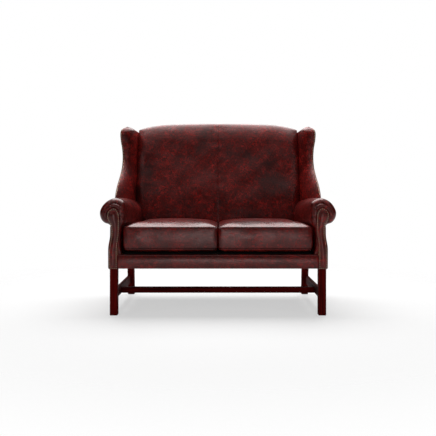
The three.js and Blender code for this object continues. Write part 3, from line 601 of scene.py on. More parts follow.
def rubbed_hide_group():
    """Leather dyed dark over red and rubbed through: cloudy patches, veins and specks."""
    inputs = [("Dark", COLOUR, GREY), ("Red", COLOUR, GREY), ("Bright", COLOUR, GREY),
              ("Patch Scale", NUMBER, 6.0), ("Vein Scale", NUMBER, 40.0), ("Rub", NUMBER, 0.6)]
    tree, given, wanted = new_group("Rubbed Hide", inputs, [("Color", COLOUR), ("Shine", NUMBER), ("Height", NUMBER)])
    place = object_place(tree)
    patches = spread(tree, noise_value(tree, place, given["Patch Scale"], 3.0, 0.5, 0.5), 0.22, 0.62)
    clouds = spread(tree, noise_value(tree, place, times(tree, given["Patch Scale"], 4.3), 3.0, 0.6, 0.6), 0.34, 0.7)
    raw = noise_value(tree, place, given["Vein Scale"], 4.0, 0.62, 1.3)
    ridge = maths(tree, "ABSOLUTE", maths(tree, "SUBTRACT", raw, 0.5))
    veins = spread(tree, ridge, 0.002, 0.042, 1.0, 0.0)
    broken = spread(tree, noise_value(tree, place, times(tree, given["Vein Scale"], 0.7), 2.0, 0.5, 0.5), 0.4, 0.6)
    fine = noise_value(tree, place, times(tree, given["Vein Scale"], 2.1), 3.0, 0.6, 1.0)
    finer = maths(tree, "ABSOLUTE", maths(tree, "SUBTRACT", fine, 0.5))
    veins = maths(tree, "MAXIMUM", times(tree, veins, broken), spread(tree, finer, 0.0, 0.1, 0.3, 0.0))
    specks = spread(tree, noise_value(tree, place, times(tree, given["Vein Scale"], 3.2), 2.0, 0.6), 0.55, 0.68)
    dyed = times(tree, patches, maths(tree, "MULTIPLY_ADD", clouds, 0.6, clamp=True))
    base = mix_colour(tree, dyed, given["Dark"], given["Red"])
    marks = plus(tree, times(tree, veins, 0.75), times(tree, specks, 0.4), clamp=True)
    rubbed = times(tree, marks, given["Rub"])
    worn = times(tree, rubbed, spread(tree, patches, 0.0, 1.0, 0.3, 1.0), clamp=True)
    tree.links.new(mix_colour(tree, worn, base, given["Bright"]), wanted["Color"])
    tree.links.new(plus(tree, times(tree, clouds, 0.5), times(tree, worn, 0.5)), wanted["Shine"])
    tree.links.new(maths(tree, "MULTIPLY_ADD", veins, -0.6), wanted["Height"])
    return tree


def hide_grain_group():
    """Fine pebbled grain of leather with soft creases, as a height."""
    inputs = [("Grain Scale", NUMBER, 620.0), ("Crease Scale", NUMBER, 26.0)]
    tree, given, wanted = new_group("Hide Grain", inputs, [("Height", NUMBER)])
    place = object_place(tree)
    pebble = add_node(tree, "ShaderNodeTexVoronoi", {"Vector": place, "Scale": given["Grain Scale"]},
                      feature="SMOOTH_F1").outputs["Distance"]
    crease = noise_value(tree, place, given["Crease Scale"], 3.0, 0.5, 0.8)
    height = plus(tree, times(tree, pebble, -0.3), times(tree, crease, 0.8))
    tree.links.new(height, wanted["Height"])
    return tree


def timber_group():
    """Straight grained timber: long streaks, pores and slow bands across the grain."""
    inputs = [("Dark", COLOUR, GREY), ("Light", COLOUR, GREY), ("Stretch", VECTOR, (1, 1, 1)), ("Figure", NUMBER, 0.5)]
    tree, given, wanted = new_group("Timber", inputs, [("Color", COLOUR), ("Shine", NUMBER), ("Height", NUMBER)])
    spot = add_node(tree, "ShaderNodeTexCoord").outputs["Object"]
    place = add_node(tree, "ShaderNodeVectorMath", {0: spot, 1: given["Stretch"]}, operation="MULTIPLY").outputs[0]
    streaks = noise_value(tree, place, 1.0, 5.0, 0.6, 0.4)
    pores = spread(tree, noise_value(tree, place, 5.0, 2.0, 0.6), 0.6, 0.72)
    bands = spread(tree, noise_value(tree, place, 0.28, 2.0, 0.5, 0.8), 0.35, 0.65)
    tone = plus(tree, times(tree, spread(tree, streaks, 0.3, 0.7), 0.6), times(tree, bands, 0.4))
    figured = times(tree, tone, given["Figure"], clamp=True)
    colour = mix_colour(tree, figured, given["Dark"], given["Light"])
    tree.links.new(mix_colour(tree, times(tree, pores, 0.5), colour, given["Dark"]), wanted["Color"])
    tree.links.new(tone, wanted["Shine"])
    tree.links.new(maths(tree, "SUBTRACT", times(tree, streaks, 0.4), pores), wanted["Height"])
    return tree


def weave_group():
    """Over and under threads of a plain cloth, as a colour with painted light and shade on the threads, and a height.
    """
    inputs = [("Thread Scale", NUMBER, 500.0), ("Dark", COLOUR, GREY), ("Light", COLOUR, GREY)]
    tree, given, wanted = new_group("Plain Weave", inputs, [("Color", COLOUR), ("Height", NUMBER)])
    spot = object_place(tree)
    parts = add_node(tree, "ShaderNodeSeparateXYZ", {0: spot}).outputs
    across = times(tree, parts["X"], given["Thread Scale"])
    along = times(tree, plus(tree, parts["Y"], parts["Z"]), given["Thread Scale"])
    warp = maths(tree, "ABSOLUTE", maths(tree, "SINE", across))
    weft = maths(tree, "ABSOLUTE", maths(tree, "SINE", along))
    height = times(tree, warp, weft)
    slub = spread(tree, noise_value(tree, spot, 160.0, 3.0, 0.6), 0.3, 0.7)
    # Painted light and shade: raised threads lighter and the gaps between them darker, mixed with slow tone changes in
    # the yarn.
    shade = plus(tree, times(tree, height, 0.6), times(tree, slub, 0.4), clamp=True)
    tree.links.new(mix_colour(tree, shade, given["Dark"], given["Light"]), wanted["Color"])
    tree.links.new(plus(tree, height, times(tree, slub, 0.5)), wanted["Height"])
    return tree


def tarnish_group():
    """Patches of age on metal."""
    inputs = [("Clean", COLOUR, GREY), ("Aged", COLOUR, GREY), ("Scale", NUMBER, 300.0), ("Age", NUMBER, 0.5)]
    tree, given, wanted = new_group("Tarnish", inputs, [("Color", COLOUR), ("Roughness", NUMBER)])
    patches = noise_value(tree, object_place(tree), given["Scale"], 4.0, 0.6)
    share = times(tree, spread(tree, patches, 0.35, 0.65), given["Age"], clamp=True)
    tree.links.new(mix_colour(tree, share, given["Clean"], given["Aged"]), wanted["Color"])
    tree.links.new(spread(tree, share, 0.0, 1.0, 0.5, 0.72), wanted["Roughness"])
    return tree


GROUP_MAKERS = {
    "Rubbed Hide": rubbed_hide_group,
    "Hide Grain": hide_grain_group,
    "Timber": timber_group,
    "Plain Weave": weave_group,
    "Tarnish": tarnish_group,
}


def group_node(tree, name, inputs):
    """One of the shared groups, placed in a material with its own values."""
    group = bpy.data.node_groups.get(name) or GROUP_MAKERS[name]()
    node = tree.nodes.new("ShaderNodeGroup")
    node.node_tree = group
    for key, value in inputs.items():
        node.inputs[key].default_value = value
    return node.outputs


def new_finish(name, **plain):
    """Material with a Principled shader, and its plain numbers set."""
    material = bpy.data.materials.new(name)
    material.use_nodes = True
    shader = material.node_tree.nodes["Principled BSDF"]
    for key, value in plain.items():
        shader.inputs[key.replace("_", " ").title().replace("Ior", "IOR")].default_value = value
    return material, material.node_tree, shader.inputs


def bump(tree, height, distance, strength=1.0, under=None):
    inputs = {"Height": height, "Distance": distance, "Strength": strength}
    if under is not None:
        inputs["Normal"] = under
    return add_node(tree, "ShaderNodeBump", inputs).outputs["Normal"]


def colour_of(name):
    return (*getattr(bpy.context.scene.settee_colours, name), 1)


def leather_finish(name, rub, vein_scale, roughness, shade=1.0, gloss=0.38):
    material, tree, sockets = new_finish(name, specular_ior_level=gloss, specular_tint=(1.0, 0.7, 0.68, 1))
    # The shade factor scales the three leather colours: above one it paints a piece lighter as painted light, below
    # one darker as painted shade.
    tones = {key: tuple(c * shade for c in colour_of(source)[:3]) + (1,) for key, source in
             (("Dark", "leather_dark"), ("Red", "leather_red"), ("Bright", "leather_bright"))}
    hide = group_node(tree, "Rubbed Hide", {**tones, "Vein Scale": vein_scale, "Rub": rub})
    grain = group_node(tree, "Hide Grain", {})
    tree.links.new(hide["Color"], sockets["Base Color"])
    tree.links.new(spread(tree, hide["Shine"], 0.0, 1.0, roughness + 0.05, roughness - 0.05), sockets["Roughness"])
    creased = bump(tree, hide["Height"], 0.0004, 0.5)
    tree.links.new(bump(tree, grain["Height"], 0.0003, 0.5, creased), sockets["Normal"])
    return material


def timber_finish(name, dark, light, stretch, roughness, figure=1.0):
    material, tree, sockets = new_finish(name, specular_ior_level=0.06, specular_tint=(1.0, 0.4, 0.35, 1))
    wood = group_node(tree, "Timber", {"Dark": colour_of(dark), "Light": colour_of(light), "Stretch": stretch,
                                       "Figure": figure})
    tree.links.new(wood["Color"], sockets["Base Color"])
    tree.links.new(spread(tree, wood["Shine"], 0.0, 1.0, roughness + 0.06, roughness - 0.06), sockets["Roughness"])
    tree.links.new(bump(tree, wood["Height"], 0.0002, 0.5), sockets["Normal"])
    return material


def cloth_finish(name, dark, light, threads, roughness=0.9):
    material, tree, sockets = new_finish(name, roughness=roughness, specular_ior_level=0.1)
    cloth = group_node(tree, "Plain Weave", {"Thread Scale": threads, "Dark": colour_of(dark),
                                             "Light": colour_of(light)})
    tree.links.new(cloth["Color"], sockets["Base Color"])
    tree.links.new(bump(tree, cloth["Height"], 0.0004, 0.7), sockets["Normal"])
    return material


def metal_finish(name, clean, aged, scale, age):
    material, tree, sockets = new_finish(name, metallic=1.0)
    metal = group_node(tree, "Tarnish", {"Clean": colour_of(clean), "Aged": colour_of(aged), "Scale": scale,
                                         "Age": age})
    tree.links.new(metal["Color"], sockets["Base Color"])
    tree.links.new(metal["Roughness"], sockets["Roughness"])
    return material


ALONG_X, ALONG_Y, ALONG_Z = (5, 110, 110), (110, 5, 110), (110, 110, 5)
VEINS = 27.0
FINISHES = {
    "Rubbed leather": (leather_finish, 0.9, VEINS, 0.28),
    # The wings' copy of the leather is painted half as bright again, as painted light on their inner faces.
    "Wing leather with painted light": (leather_finish, 0.9, VEINS, 0.28, 1.5),
    "Cushion leather": (leather_finish, 0.9, VEINS, 0.27),
    "Panel leather": (leather_finish, 0.9, VEINS, 0.4, 1.0, 0.2),
    # The piping's copy of the leather is painted at half brightness, as painted shade along the seam grooves, with
    # fewer rubbed veins and less gloss.
    "Seam leather with painted shade": (leather_finish, 0.3, 60.0, 0.5, 0.5, 0.2),
    "Mahogany upright": (timber_finish, "stain_dark", "stain_light", ALONG_Z, 0.7),
    "Mahogany across": (timber_finish, "stain_dark", "stain_light", ALONG_X, 0.7),
    "Mahogany lengthways": (timber_finish, "stain_dark", "stain_light", ALONG_Y, 0.7),
    "Beech upright": (timber_finish, "beech_dark", "beech_light", ALONG_Z, 0.7),
    "Beech across": (timber_finish, "beech_dark", "beech_light", ALONG_X, 0.7),
    "Beech lengthways": (timber_finish, "beech_dark", "beech_light", ALONG_Y, 0.7),
    "Jute": (cloth_finish, "jute_dark", "jute_light", 1500.0),
    # The near black cloth is the real dust cover under the seat, and on the seat deck it stands as painted shade in
    # the gap under the cushions.
    "Dust cloth with painted shade": (cloth_finish, "cloth_dark", "cloth_light", 2600.0),
    "Spring steel": (metal_finish, "steel", "steel_aged", 220.0, 0.5),
    "Antique bronze": (metal_finish, "bronze", "bronze_aged", 420.0, 0.5),
}


def finish(name):
    maker, *values = FINISHES[name]
    return bpy.data.materials.get(name) or maker(name, *values)


# Sizes and colours that a user may change
def length(name, description, default):
    return FloatProperty(name=name, description=description, default=default, min=0.0, subtype="DISTANCE",
                         unit="LENGTH")


def power(name, description, default):
    return FloatProperty(name=name, description=description, default=default, min=0.0, subtype="POWER")


def amount(name, description, default):
    return FloatProperty(name=name, description=description, default=default, min=0.0)


def colour(name, description, default):
    return FloatVectorProperty(name=name, description=description, default=default, size=3, min=0.0, max=1.0,
                               subtype="COLOR")


class SetteeSizes(bpy.types.PropertyGroup):
    nail_pitch: length("Nail Pitch", "Distance between two nail heads", 0.0114)
    nail_radius: length("Nail Radius", "Half the width of a nail head", 0.0027)
    welt_radius: length("Piping Radius", "Half the thickness of the piping in the seams", 0.0022)
    pleat_depth: length("Pleat Depth", "Depth of the pleats round the front of the arm rolls", 0.0018)
    seam_depth: length("Seam Depth", "Depth of the seam down the middle of the back", 0.0026)
    cushion_voxel: length("Cushion Voxel", "Cell size of the cushions before their cloth simulation", 0.006)
    cushion_rise: length("Cushion Rise", "The furthest that the filling may push the cushion's cover", 0.012)
    cushion_pressure: amount("Cushion Pressure", "Pressure of the filling", 4.0)
    pleats: IntProperty(name="Pleats", description="Pleats round the front of each arm roll", default=9, min=0)


class SetteeColours(bpy.types.PropertyGroup):
    leather_dark: colour("Leather Dark", "Unrubbed top dye", (0.012, 0.0012, 0.0010))
    leather_red: colour("Leather Red", "Rubbed patches", (0.036, 0.0020, 0.0016))
    leather_bright: colour("Leather Bright", "Veins and specks rubbed through", (0.36, 0.0150, 0.012))
    stain_dark: colour("Stain Dark", "Mahogany stain in the pores", (0.020, 0.0010, 0.0009))
    stain_light: colour("Stain Light", "Mahogany stain on the figure", (0.120, 0.0026, 0.0016))
    beech_dark: colour("Beech Dark", "Darker grain of the hidden frame", (0.36, 0.22, 0.11))
    beech_light: colour("Beech Light", "Paler grain of the hidden frame", (0.56, 0.39, 0.22))
    jute_dark: colour("Jute Dark", "Shaded threads of the webbing", (0.20, 0.13, 0.06))
    jute_light: colour("Jute Light", "Raised threads of the webbing", (0.44, 0.32, 0.17))
    # Both cloth colours are near black, so that the seat deck dressed in this cloth stands as painted shade in the gap
    # under the cushions.
    cloth_dark: colour("Dust Cloth Dark", "Gaps in the black cloth", (0.002, 0.002, 0.002))
    cloth_light: colour("Dust Cloth Light", "Threads of the black cloth", (0.009, 0.008, 0.008))
    steel: colour("Spring Steel", "Clean spring wire", (0.42, 0.43, 0.44))
    steel_aged: colour("Aged Steel", "Dull spring wire", (0.20, 0.20, 0.20))
    bronze: colour("Bronze", "Rubbed nail heads", (0.50, 0.39, 0.27))
    bronze_aged: colour("Aged Bronze", "Dark patina on the nail heads", (0.10, 0.07, 0.05))
    floor: colour("Floor", "Studio floor", (0.94, 0.94, 0.94))


class SetteeLight(bpy.types.PropertyGroup):
    camera_height: length("Camera Height", "Height of the lens above the floor", 0.706)
    camera_distance: length("Camera Distance", "From the lens to the front legs", 3.6)
    lens: FloatProperty(name="Lens", description="Focal length in millimetres", default=53.2, min=1.0)
    shift: FloatProperty(name="Shift", description="Upward shift of the lens, as a share of the frame",
                         default=-0.066)
    key_power: power("Key Power", "Overhead lamp, in watts", 118.0)
    front_power: power("Front Power", "Low soft lamp in front of the seat, in watts", 22.0)
    side_power: power("Side Power", "Each soft lamp at the side, in watts", 9.0)
    ambient: amount("Ambient", "Light from all round", 0.12)


def rounded_section(half_across, half_deep, radius, steps=4):
    """Rectangle with eased corners, about its own middle."""
    points = []
    for turn, (sx, sy) in enumerate(((1, 1), (-1, 1), (-1, -1), (1, -1))):
        for step in range(steps + 1):
            angle = math.pi / 2 * (turn + step / steps)
            points.append((sx * (half_across - radius) + radius * math.cos(angle),
                           sy * (half_deep - radius) + radius * math.sin(angle)))
    return np.array(points)


def rake_at(z):
    """How far a rear leg runs out backwards at a height."""
    return REAR_FOOT_RAKE * (1 - min(z, FRAME_BOTTOM_Z) / FRAME_BOTTOM_Z)


def show_leg(rear):
    """Square leg with eased corners and a small chamfer round the foot."""
    half = LEG_SECTION / 2
    centre_x = LEG_OUTER_X - half
    front = REAR_LEG_Y if rear else 0
    levels = [(0, FOOT_CHAMFER), (FOOT_CHAMFER * 0.4, FOOT_CHAMFER * 0.5), (FOOT_CHAMFER, 0.3),
              (FOOT_CHAMFER * 2, 0)]
    levels += [(z, 0) for z in (70, 130, 190, 240, FRAME_BOTTOM_Z, LEG_TOP_Z)]
    rings = []
    for z, inset in levels:
        rake = rake_at(z) if rear else 0
        section = rounded_section(half - inset, half - inset, 2.2 - min(inset, 1.2))
        rings.append([(centre_x + u, front + rake + half + v, z) for u, v in section])
    return loft(np.array(rings))


class SETTEE_OT_show_wood(bpy.types.Operator):
    """Stained legs and stretchers with eased edges"""
    bl_idname = "settee.show_wood"
    bl_label = "Legs and Stretchers"

    def execute(self, context):
        for label, side in SIDES.items():
            for place, rear in (("front", False), ("rear", True)):
                node = f"{place}_leg_{label}"
                make_piece(f"{node}_turned_out", on_side(show_leg(rear), side), finish("Mahogany upright"),
                           replaces=[node], crease=35)
            x, z = LEG_OUTER_X - STRETCHER_THICKNESS / 2, sum(SIDE_STRETCHER_Z) / 2
            section = rounded_section(STRETCHER_THICKNESS / 2, z - SIDE_STRETCHER_Z[0], EASED_CORNER)
            rings = [[(x + u, y, z + v) for u, v in section] for y in (LEG_SECTION + JOINT_GAP, 200, 400, 560)]
            rings.append([(x + u, REAR_LEG_Y + rake_at(z + v) - JOINT_GAP, z + v) for u, v in section])
            make_piece(f"side_stretcher_{label}_eased", on_side(loft(np.array(rings)), side),
                       finish("Mahogany lengthways"), replaces=[f"side_stretcher_{label}"], crease=35)
        section = rounded_section(*CENTRE_STRETCHER_HALF, EASED_CORNER)
        ends = LEG_OUTER_X - STRETCHER_THICKNESS - JOINT_GAP
        y, z = CENTRE_STRETCHER_AT
        rings = [[(x, y + u, z + v) for u, v in section] for x in np.linspace(-ends, ends, 9)]
        make_piece("centre_stretcher_eased", loft(np.array(rings)), finish("Mahogany across"),
                   replaces=["centre_stretcher"], crease=35)
        return {"FINISHED"}


HIDDEN_FRAME = {
    "Beech across": ("front_seat_rail", "rear_seat_rail", "back_top_rail", "back_lower_rail"),
    "Beech lengthways": ("side_seat_rail_left", "side_seat_rail_right", "seat_brace", "corner_block_front_left",
                         "corner_block_front_right", "corner_block_rear_left", "corner_block_rear_right",
                         "arm_rail_left", "arm_rail_right"),
    "Beech upright": ("arm_post_left", "arm_post_right", "back_post_left", "back_post_right"),
    "Spring steel": tuple(f"seat_spring_{number}" for number in range(1, 9)),
}


class SETTEE_OT_hidden_frame(bpy.types.Operator):
    """Raw beech and spring wire on the frame inside the upholstery"""
    bl_idname = "settee.hidden_frame"
    bl_label = "Hidden Frame"

    def execute(self, context):
        for name, nodes in HIDDEN_FRAME.items():
            for node in nodes:
                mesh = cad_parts[node].data
                mesh.materials.clear()
                mesh.materials.append(finish(name))
        return {"FINISHED"}


def node_box(node):
    """Corners of a CAD node in the millimetres drawn here."""
    low, high = (np.array(corner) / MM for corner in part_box(node))
    shift = np.array([0, FRONT_Y / MM, 0])
    return low - shift, high - shift


class SETTEE_OT_platform(bpy.types.Operator):
    """Padded seat deck, back webbing and the black cloth under the seat"""
    bl_idname = "settee.platform"
    bl_label = "Deck, Webbing and Dust Cloth"

    def execute(self, context):
        low, high = node_box("seat_deck")
        rows, columns = 40, 60
        v = np.linspace(0, 1, rows)[:, None] * np.ones((1, columns))
        u = np.linspace(-1, 1, columns)[None, :] * np.ones((rows, 1))
        y = blend(low[1], high[1], v)
        half = np.array([arm_outline(each)[:8, 0].min() for each in y[:, 0]])[:, None] - 3
        edge = np.minimum(np.minimum(1 - np.abs(u), v), 1 - v)
        puff = 1 - np.clip(1 - edge / 0.05, 0, 1) ** 2
        top = np.stack([u * half, y, high[2] - 5 + 4.6 * puff], axis=-1)
        top[..., 2] += ripple(top, 160, 0.2, 3)
        under = np.stack([u * half, y, np.full_like(u, low[2])], axis=-1)
        # The deck is dressed in the near black dust cloth, as painted shade in the gap under the cushions.
        make_piece("seat_deck_padded", sheet_solid(top, under), finish("Dust cloth with painted shade"),
                   replaces=["seat_deck"])
        for number in range(1, 5):
            node = f"back_web_{number}"
            low, high = node_box(node)
            x, z = np.meshgrid(np.linspace(-1, 1, 120) * high[0], np.linspace(low[2], high[2], 9))
            front = np.stack([x, outside_back_y(z) - WEB_DEPTH, z], axis=-1)
            rear = front + [0, WEB_THICKNESS, 0]
            make_piece(f"{node}_woven", sheet_solid(front, rear), finish("Jute"), replaces=[node])
        low, high = node_box("dust_cover")
        x, y = np.meshgrid(np.linspace(low[0], high[0], 60), np.linspace(low[1], high[1], 40))
        drop = 0.35 * (1 + np.cos(x / 90) * np.cos(y / 70))
        lower = np.stack([x, y, low[2] + 0.7 - drop], axis=-1)
        cloth = make_piece("dust_cover_cloth", sheet_solid(lower + [0, 0, 0.9], lower), finish("Dust cloth with painted shade"),
                           replaces=["dust_cover"])
        return {"FINISHED"}


class SETTEE_OT_inside_back(bpy.types.Operator):
    """Padded inside back with its rolled, cambered top and the seam down its middle"""
    bl_idname = "settee.inside_back"
    bl_label = "Inside Back"

    def execute(self, context):
        sizes = context.scene.settee_sizes
        seam = sizes.seam_depth / MM
        near = np.array([0, 0.8, 1.6, 2.6, 4, 6, 9, 13, 18, 24, 32, 40])
        far = [508, 515, 521, 526, 530, 533.5, 536.5, 538.5, 539.5, 540]
        half = np.concatenate([near, np.linspace(50, 500, 46), far])
        xs = np.concatenate([-half[:0:-1], half])
        rise = np.linspace(0, 1, 66)
        turn = np.linspace(np.pi / 2, np.pi, 18)[1:]
        over = np.linspace(0, 1, 22)[1:]
        rings = []
        for x in xs:
            across = abs(x)
            end = np.clip(1 - (BACK_HALF_WIDTH - across) / 8, 0, 1)
            tuck = 3 * (1 - math.sqrt(max(0.0, 1 - end * end)))
            top = back_top_at(x) - tuck
            roll_z = back_top_at(x) - BACK_ROLL_DROP
            groove = seam * (0.45 * math.exp(-across / 9) + 0.55 * math.exp(-((across / 1.6) ** 2)))
            z = blend(ARM_FOOT_Z, roll_z, rise)
            pull = 0.7 * math.exp(-across / 34) * np.sin(z / 11.0) * (np.sin(z / 37.0) > 0)
            shoulder = np.clip(1 - (roll_z - z) / BACK_SHOULDER[1], 0, 1)
            depth = back_face_depth(x, z) - groove + pull - tuck * 0.4 - BACK_SHOULDER[0] * shoulder**2.2
            face_depth = depth[-1]
            middle = face_depth * 0.46
            top -= groove * 0.8
            start_slope = 2.2 * BACK_SHOULDER[0] / BACK_SHOULDER[1] + 0.127
            lean = 0.45 * (top - roll_z)
            leaned = face_depth - start_slope * lean
            over_depth = bezier(over, face_depth, leaned, blend(middle, face_depth, 0.5), middle)
            over_z = bezier(over, roll_z, roll_z + lean, top, top)
            depth = np.concatenate([depth, over_depth, middle + middle * np.cos(turn), [BACK_REAR_DEPTH] * 2])
            z = np.concatenate([z, over_z, roll_z + (top - roll_z) * np.sin(turn), [roll_z, ARM_FOOT_Z]])
            rings.append(np.stack([np.full_like(z, x), outside_back_y(z) - depth, z], axis=-1))
        grid = np.array(rings)
        shown = grid[:, :-3]
        wave = ripple(shown, 210, 1.1, 21) + ripple(shown, 70, 0.25, 22)
        shown[..., 1] -= wave * np.clip((shown[..., 2] - ARM_FOOT_Z) / 60, 0, 1)
        make_piece("inside_back_upholstered", loft(grid), finish("Rubbed leather"), replaces=["inside_back"])
        return {"FINISHED"}


class SETTEE_OT_outside_back(bpy.types.Operator):
    """Leather panel over the back of the frame, piped along its edges"""
    bl_idname = "settee.outside_back"
    bl_label = "Outside Back"

    def execute(self, context):
        sizes = context.scene.settee_sizes
        columns, rows = 90, 70
        u = np.linspace(-1, 1, columns)
        v = np.linspace(0, 1, rows)
        half = BACK_PANEL_HALF_WIDTH
        x = u[None, :] * half * np.ones((rows, 1))
        top = back_top_at(x) - BACK_ROLL_DROP - 1.2
        z = blend(FRAME_BOTTOM_Z, top, v[:, None])
        edge = np.minimum(np.minimum(half - np.abs(x), z - FRAME_BOTTOM_Z), top - z)
        puff = 3.2 * (1 - np.exp(-edge / 26)) - 1.4 * np.exp(-edge / 2.5)
        rear = np.stack([x, outside_back_y(z) + puff - 0.4, z], axis=-1)
        rear[..., 1] += ripple(rear, 260, 0.8, 31) * np.clip(edge / 60, 0, 1)
        front = np.stack([x, outside_back_y(z) - 5, z], axis=-1)
        make_piece("outside_back_panel", sheet_solid(front, rear), finish("Panel leather"),
                   replaces=["outside_back"])
        outline = np.concatenate([rear[0], rear[1:, -1], rear[-1, -2::-1], rear[-2:0:-1, 0]])
        outline = outline * [1 - 2.2 / half, 1, 1] + [0, 0.6, 0]
        path, _ = even_steps(outline, 9, closed=True)
        make_piece("outside_back_piping", tube(path, sizes.welt_radius / MM, closed=True), finish("Seam leather with painted shade"))
        return {"FINISHED"}


def arm_form(side, seed, sizes):
    """Padded scroll arm: its inner side, the roll, and the pleats that gather into the facing."""
    samples = 140
    ys = np.concatenate([[0, 0.6, 1.6, 3, 5, 7.5, 10.5, 14, 18, 22, 26, 30, 35, 41, 48, 56, 65, 75, 86, 98, 112, 128],
                         np.arange(145, 770, 17)])
    lines = np.array([arm_outline(y, samples) for y in ys])
    grid = np.stack([lines[..., 0], ys[:, None] * np.ones(samples), lines[..., 1]], axis=-1)
    rim = lines[0]
    outline = facing_outline()
    _, nearest = distance_to(rim, outline)
    width = np.linalg.norm(rim - nearest, axis=1)
    skirt = []
    for share in (1.14, 1.0, 0.9, 0.78, 0.65, 0.52, 0.4, 0.29, 0.19, 0.1, 0.04):
        flat = blend(rim, nearest, share)
        hump = np.minimum(8.5, 0.42 * width) * math.sin(math.pi * min(share, 1) ** 0.75)
        y = -hump if share <= 1 else np.full(samples, 1.5)
        skirt.append(np.stack([flat[:, 0], y * np.ones(samples), flat[:, 1]], axis=-1))
    grid = np.concatenate([skirt, grid])
    low = grid[..., 0] < 560
    flare = 9 * np.exp(-(((grid[..., 2] - 350) / 15) ** 2)) * np.exp(-((np.maximum(grid[..., 1], 0) / 22) ** 2))
    grid[..., 0] -= flare * low
    lengths = np.concatenate([[0], np.cumsum(np.linalg.norm(np.diff(rim, axis=0), axis=1))])
    dice = np.random.default_rng(seed)
    begin = lengths[np.argmax(rim[:, 1] > ARM_NECK_Z - 14)]
    places = np.linspace(begin, lengths[-1] - 4, sizes.pleats) + dice.uniform(-7, 7, sizes.pleats)
    push = ripple(grid, 95, 0.7, seed + 1)
    for place in places:
        deep = sizes.pleat_depth / MM * dice.uniform(0.45, 1.15)
        run = dice.uniform(14, 46)
        lean = dice.uniform(-0.12, 0.12)
        y = grid[..., 1]
        off = lengths[None, :] - place - lean * np.maximum(y, 0)
        wide = 5.5 + 0.12 * np.maximum(y, 0)
        ending = np.exp(-np.maximum(y, 0) / run)
        push -= deep * np.exp(-((off / wide) ** 2)) * ending
        push += 0.4 * deep * np.exp(-(((off - 1.9 * wide) / (1.4 * wide)) ** 2)) * ending
    fade = np.ones(len(grid))
    fade[:3] = (0, 0, 0.6)
    below_wing = ease((grid[..., 1] - 300) / 45) * ease((grid[..., 2] - 590) / 30)
    grid = grid - grid_normals(grid) * (push * fade[:, None] * (1 - below_wing))[..., None]
    x, z = grid[..., 0], grid[..., 2]
    inside = outside_back_y(z) - back_face_depth(np.minimum(x, BACK_HALF_WIDTH), z) - 1.8
    end = np.where(x < BACK_HALF_WIDTH + 0.5, inside, outside_back_y(z) - PANEL_GAP)
    grid[-1, :, 1] = np.maximum(grid[-1, :, 1], end[-1])
    for column in range(grid.shape[1]):
        past = grid[:, column, 1] - end[:, column]
        first = int(np.argmax(past > 0)) if (past > 0).any() else len(grid) - 1
        if past[first] > 0:
            share = past[first - 1] / (past[first - 1] - past[first])
            grid[first:, column] = blend(grid[first - 1, column], grid[first, column], share)
    slot_x = np.array([SLOT_X[1], SLOT_X[1], SLOT_X[0], SLOT_X[0]])
    slot_z = np.array([ARM_NECK_Z, SLOT_TOP_Z, SLOT_TOP_Z, ARM_FOOT_Z])
    slot_end = outside_back_y(slot_z) - PANEL_GAP
    slot_y = np.minimum(np.concatenate([np.zeros(len(skirt)), ys])[:, None], slot_end)
    slot_y[-1] = slot_end
    inner = np.stack([np.broadcast_to(slot_x, slot_y.shape), slot_y, np.broadcast_to(slot_z, slot_y.shape)], axis=-1)
    return on_side(loft(np.concatenate([grid, inner], axis=1)), side)


def outside_arm_form():
    """Panel below the roll: flat below and drawn in to the neck."""
    z = np.linspace(FRAME_BOTTOM_Z, ARM_NECK_Z - 1.2, 46)
    x = blend(615.0, 604.0, ease(1 - (456 - z) / 90))
    ys = np.concatenate([[0, 0.7, 2, 4, 7, 11], np.linspace(18, 758, 60)])
    outer = []
    for y in ys:
        round_off = 3.5 * (1 - math.sqrt(1 - np.clip(1 - y / 7, 0, 1) ** 2))
        share = (z - z[0]) / (z[-1] - z[0])
        puff = 1.6 * np.sin(np.pi * share) * np.clip(y / 30, 0, 1) - 1.5 * np.exp(-(z - z[0]) / 2.5)
        outer.append(np.stack([x + puff - round_off, np.minimum(y, outside_back_y(z) - PANEL_GAP), z], axis=-1))
    outer = np.array(outer)
    outer[..., 0] += ripple(outer, 180, 0.5, 41) * np.clip(outer[..., 1] / 40, 0, 1)
    inner = outer.copy()
    inner[..., 0] = x[None, :] - 9
    return sheet_solid(outer, inner)


class SETTEE_OT_arms(bpy.types.Operator):
    """Padded scroll arms, pleated round the front, and the panels outside them"""
    bl_idname = "settee.arms"
    bl_label = "Arms"

    def execute(self, context):
        sizes = context.scene.settee_sizes
        for label, side in SIDES.items():
            arm = make_piece(f"arm_{label}_upholstered", arm_form(side, 50 + side, sizes), finish("Rubbed leather"),
                             replaces=[f"inside_arm_{label}"])
            carve(arm, [join_forms([form_of(source) for source in (
                f"arm_post_{label}", f"arm_rail_{label}", f"back_post_{label}", "back_lower_rail", "back_web_1",
                "back_web_2", bpy.data.objects["inside_back_upholstered"])])], folded=True)
            make_piece(f"outside_arm_{label}_panel", on_side(outside_arm_form(), side), finish("Panel leather"),
                       replaces=[f"outside_arm_{label}"])
        return {"FINISHED"}


def facing_swell(inset):
    """How far the facing stands forward of the arm at a distance in from its edge."""
    rim = 1 - np.clip(1 - inset / 5, 0, 1) ** 2
    row = 1.6 * np.exp(-(((inset - FACING_NAIL_INSET) / 2.0) ** 2))
    return 3.5 + 3.5 * np.sqrt(rim) + 12 * np.sin(np.pi / 2 * np.clip((inset - 6) / 27, 0, 1)) - row


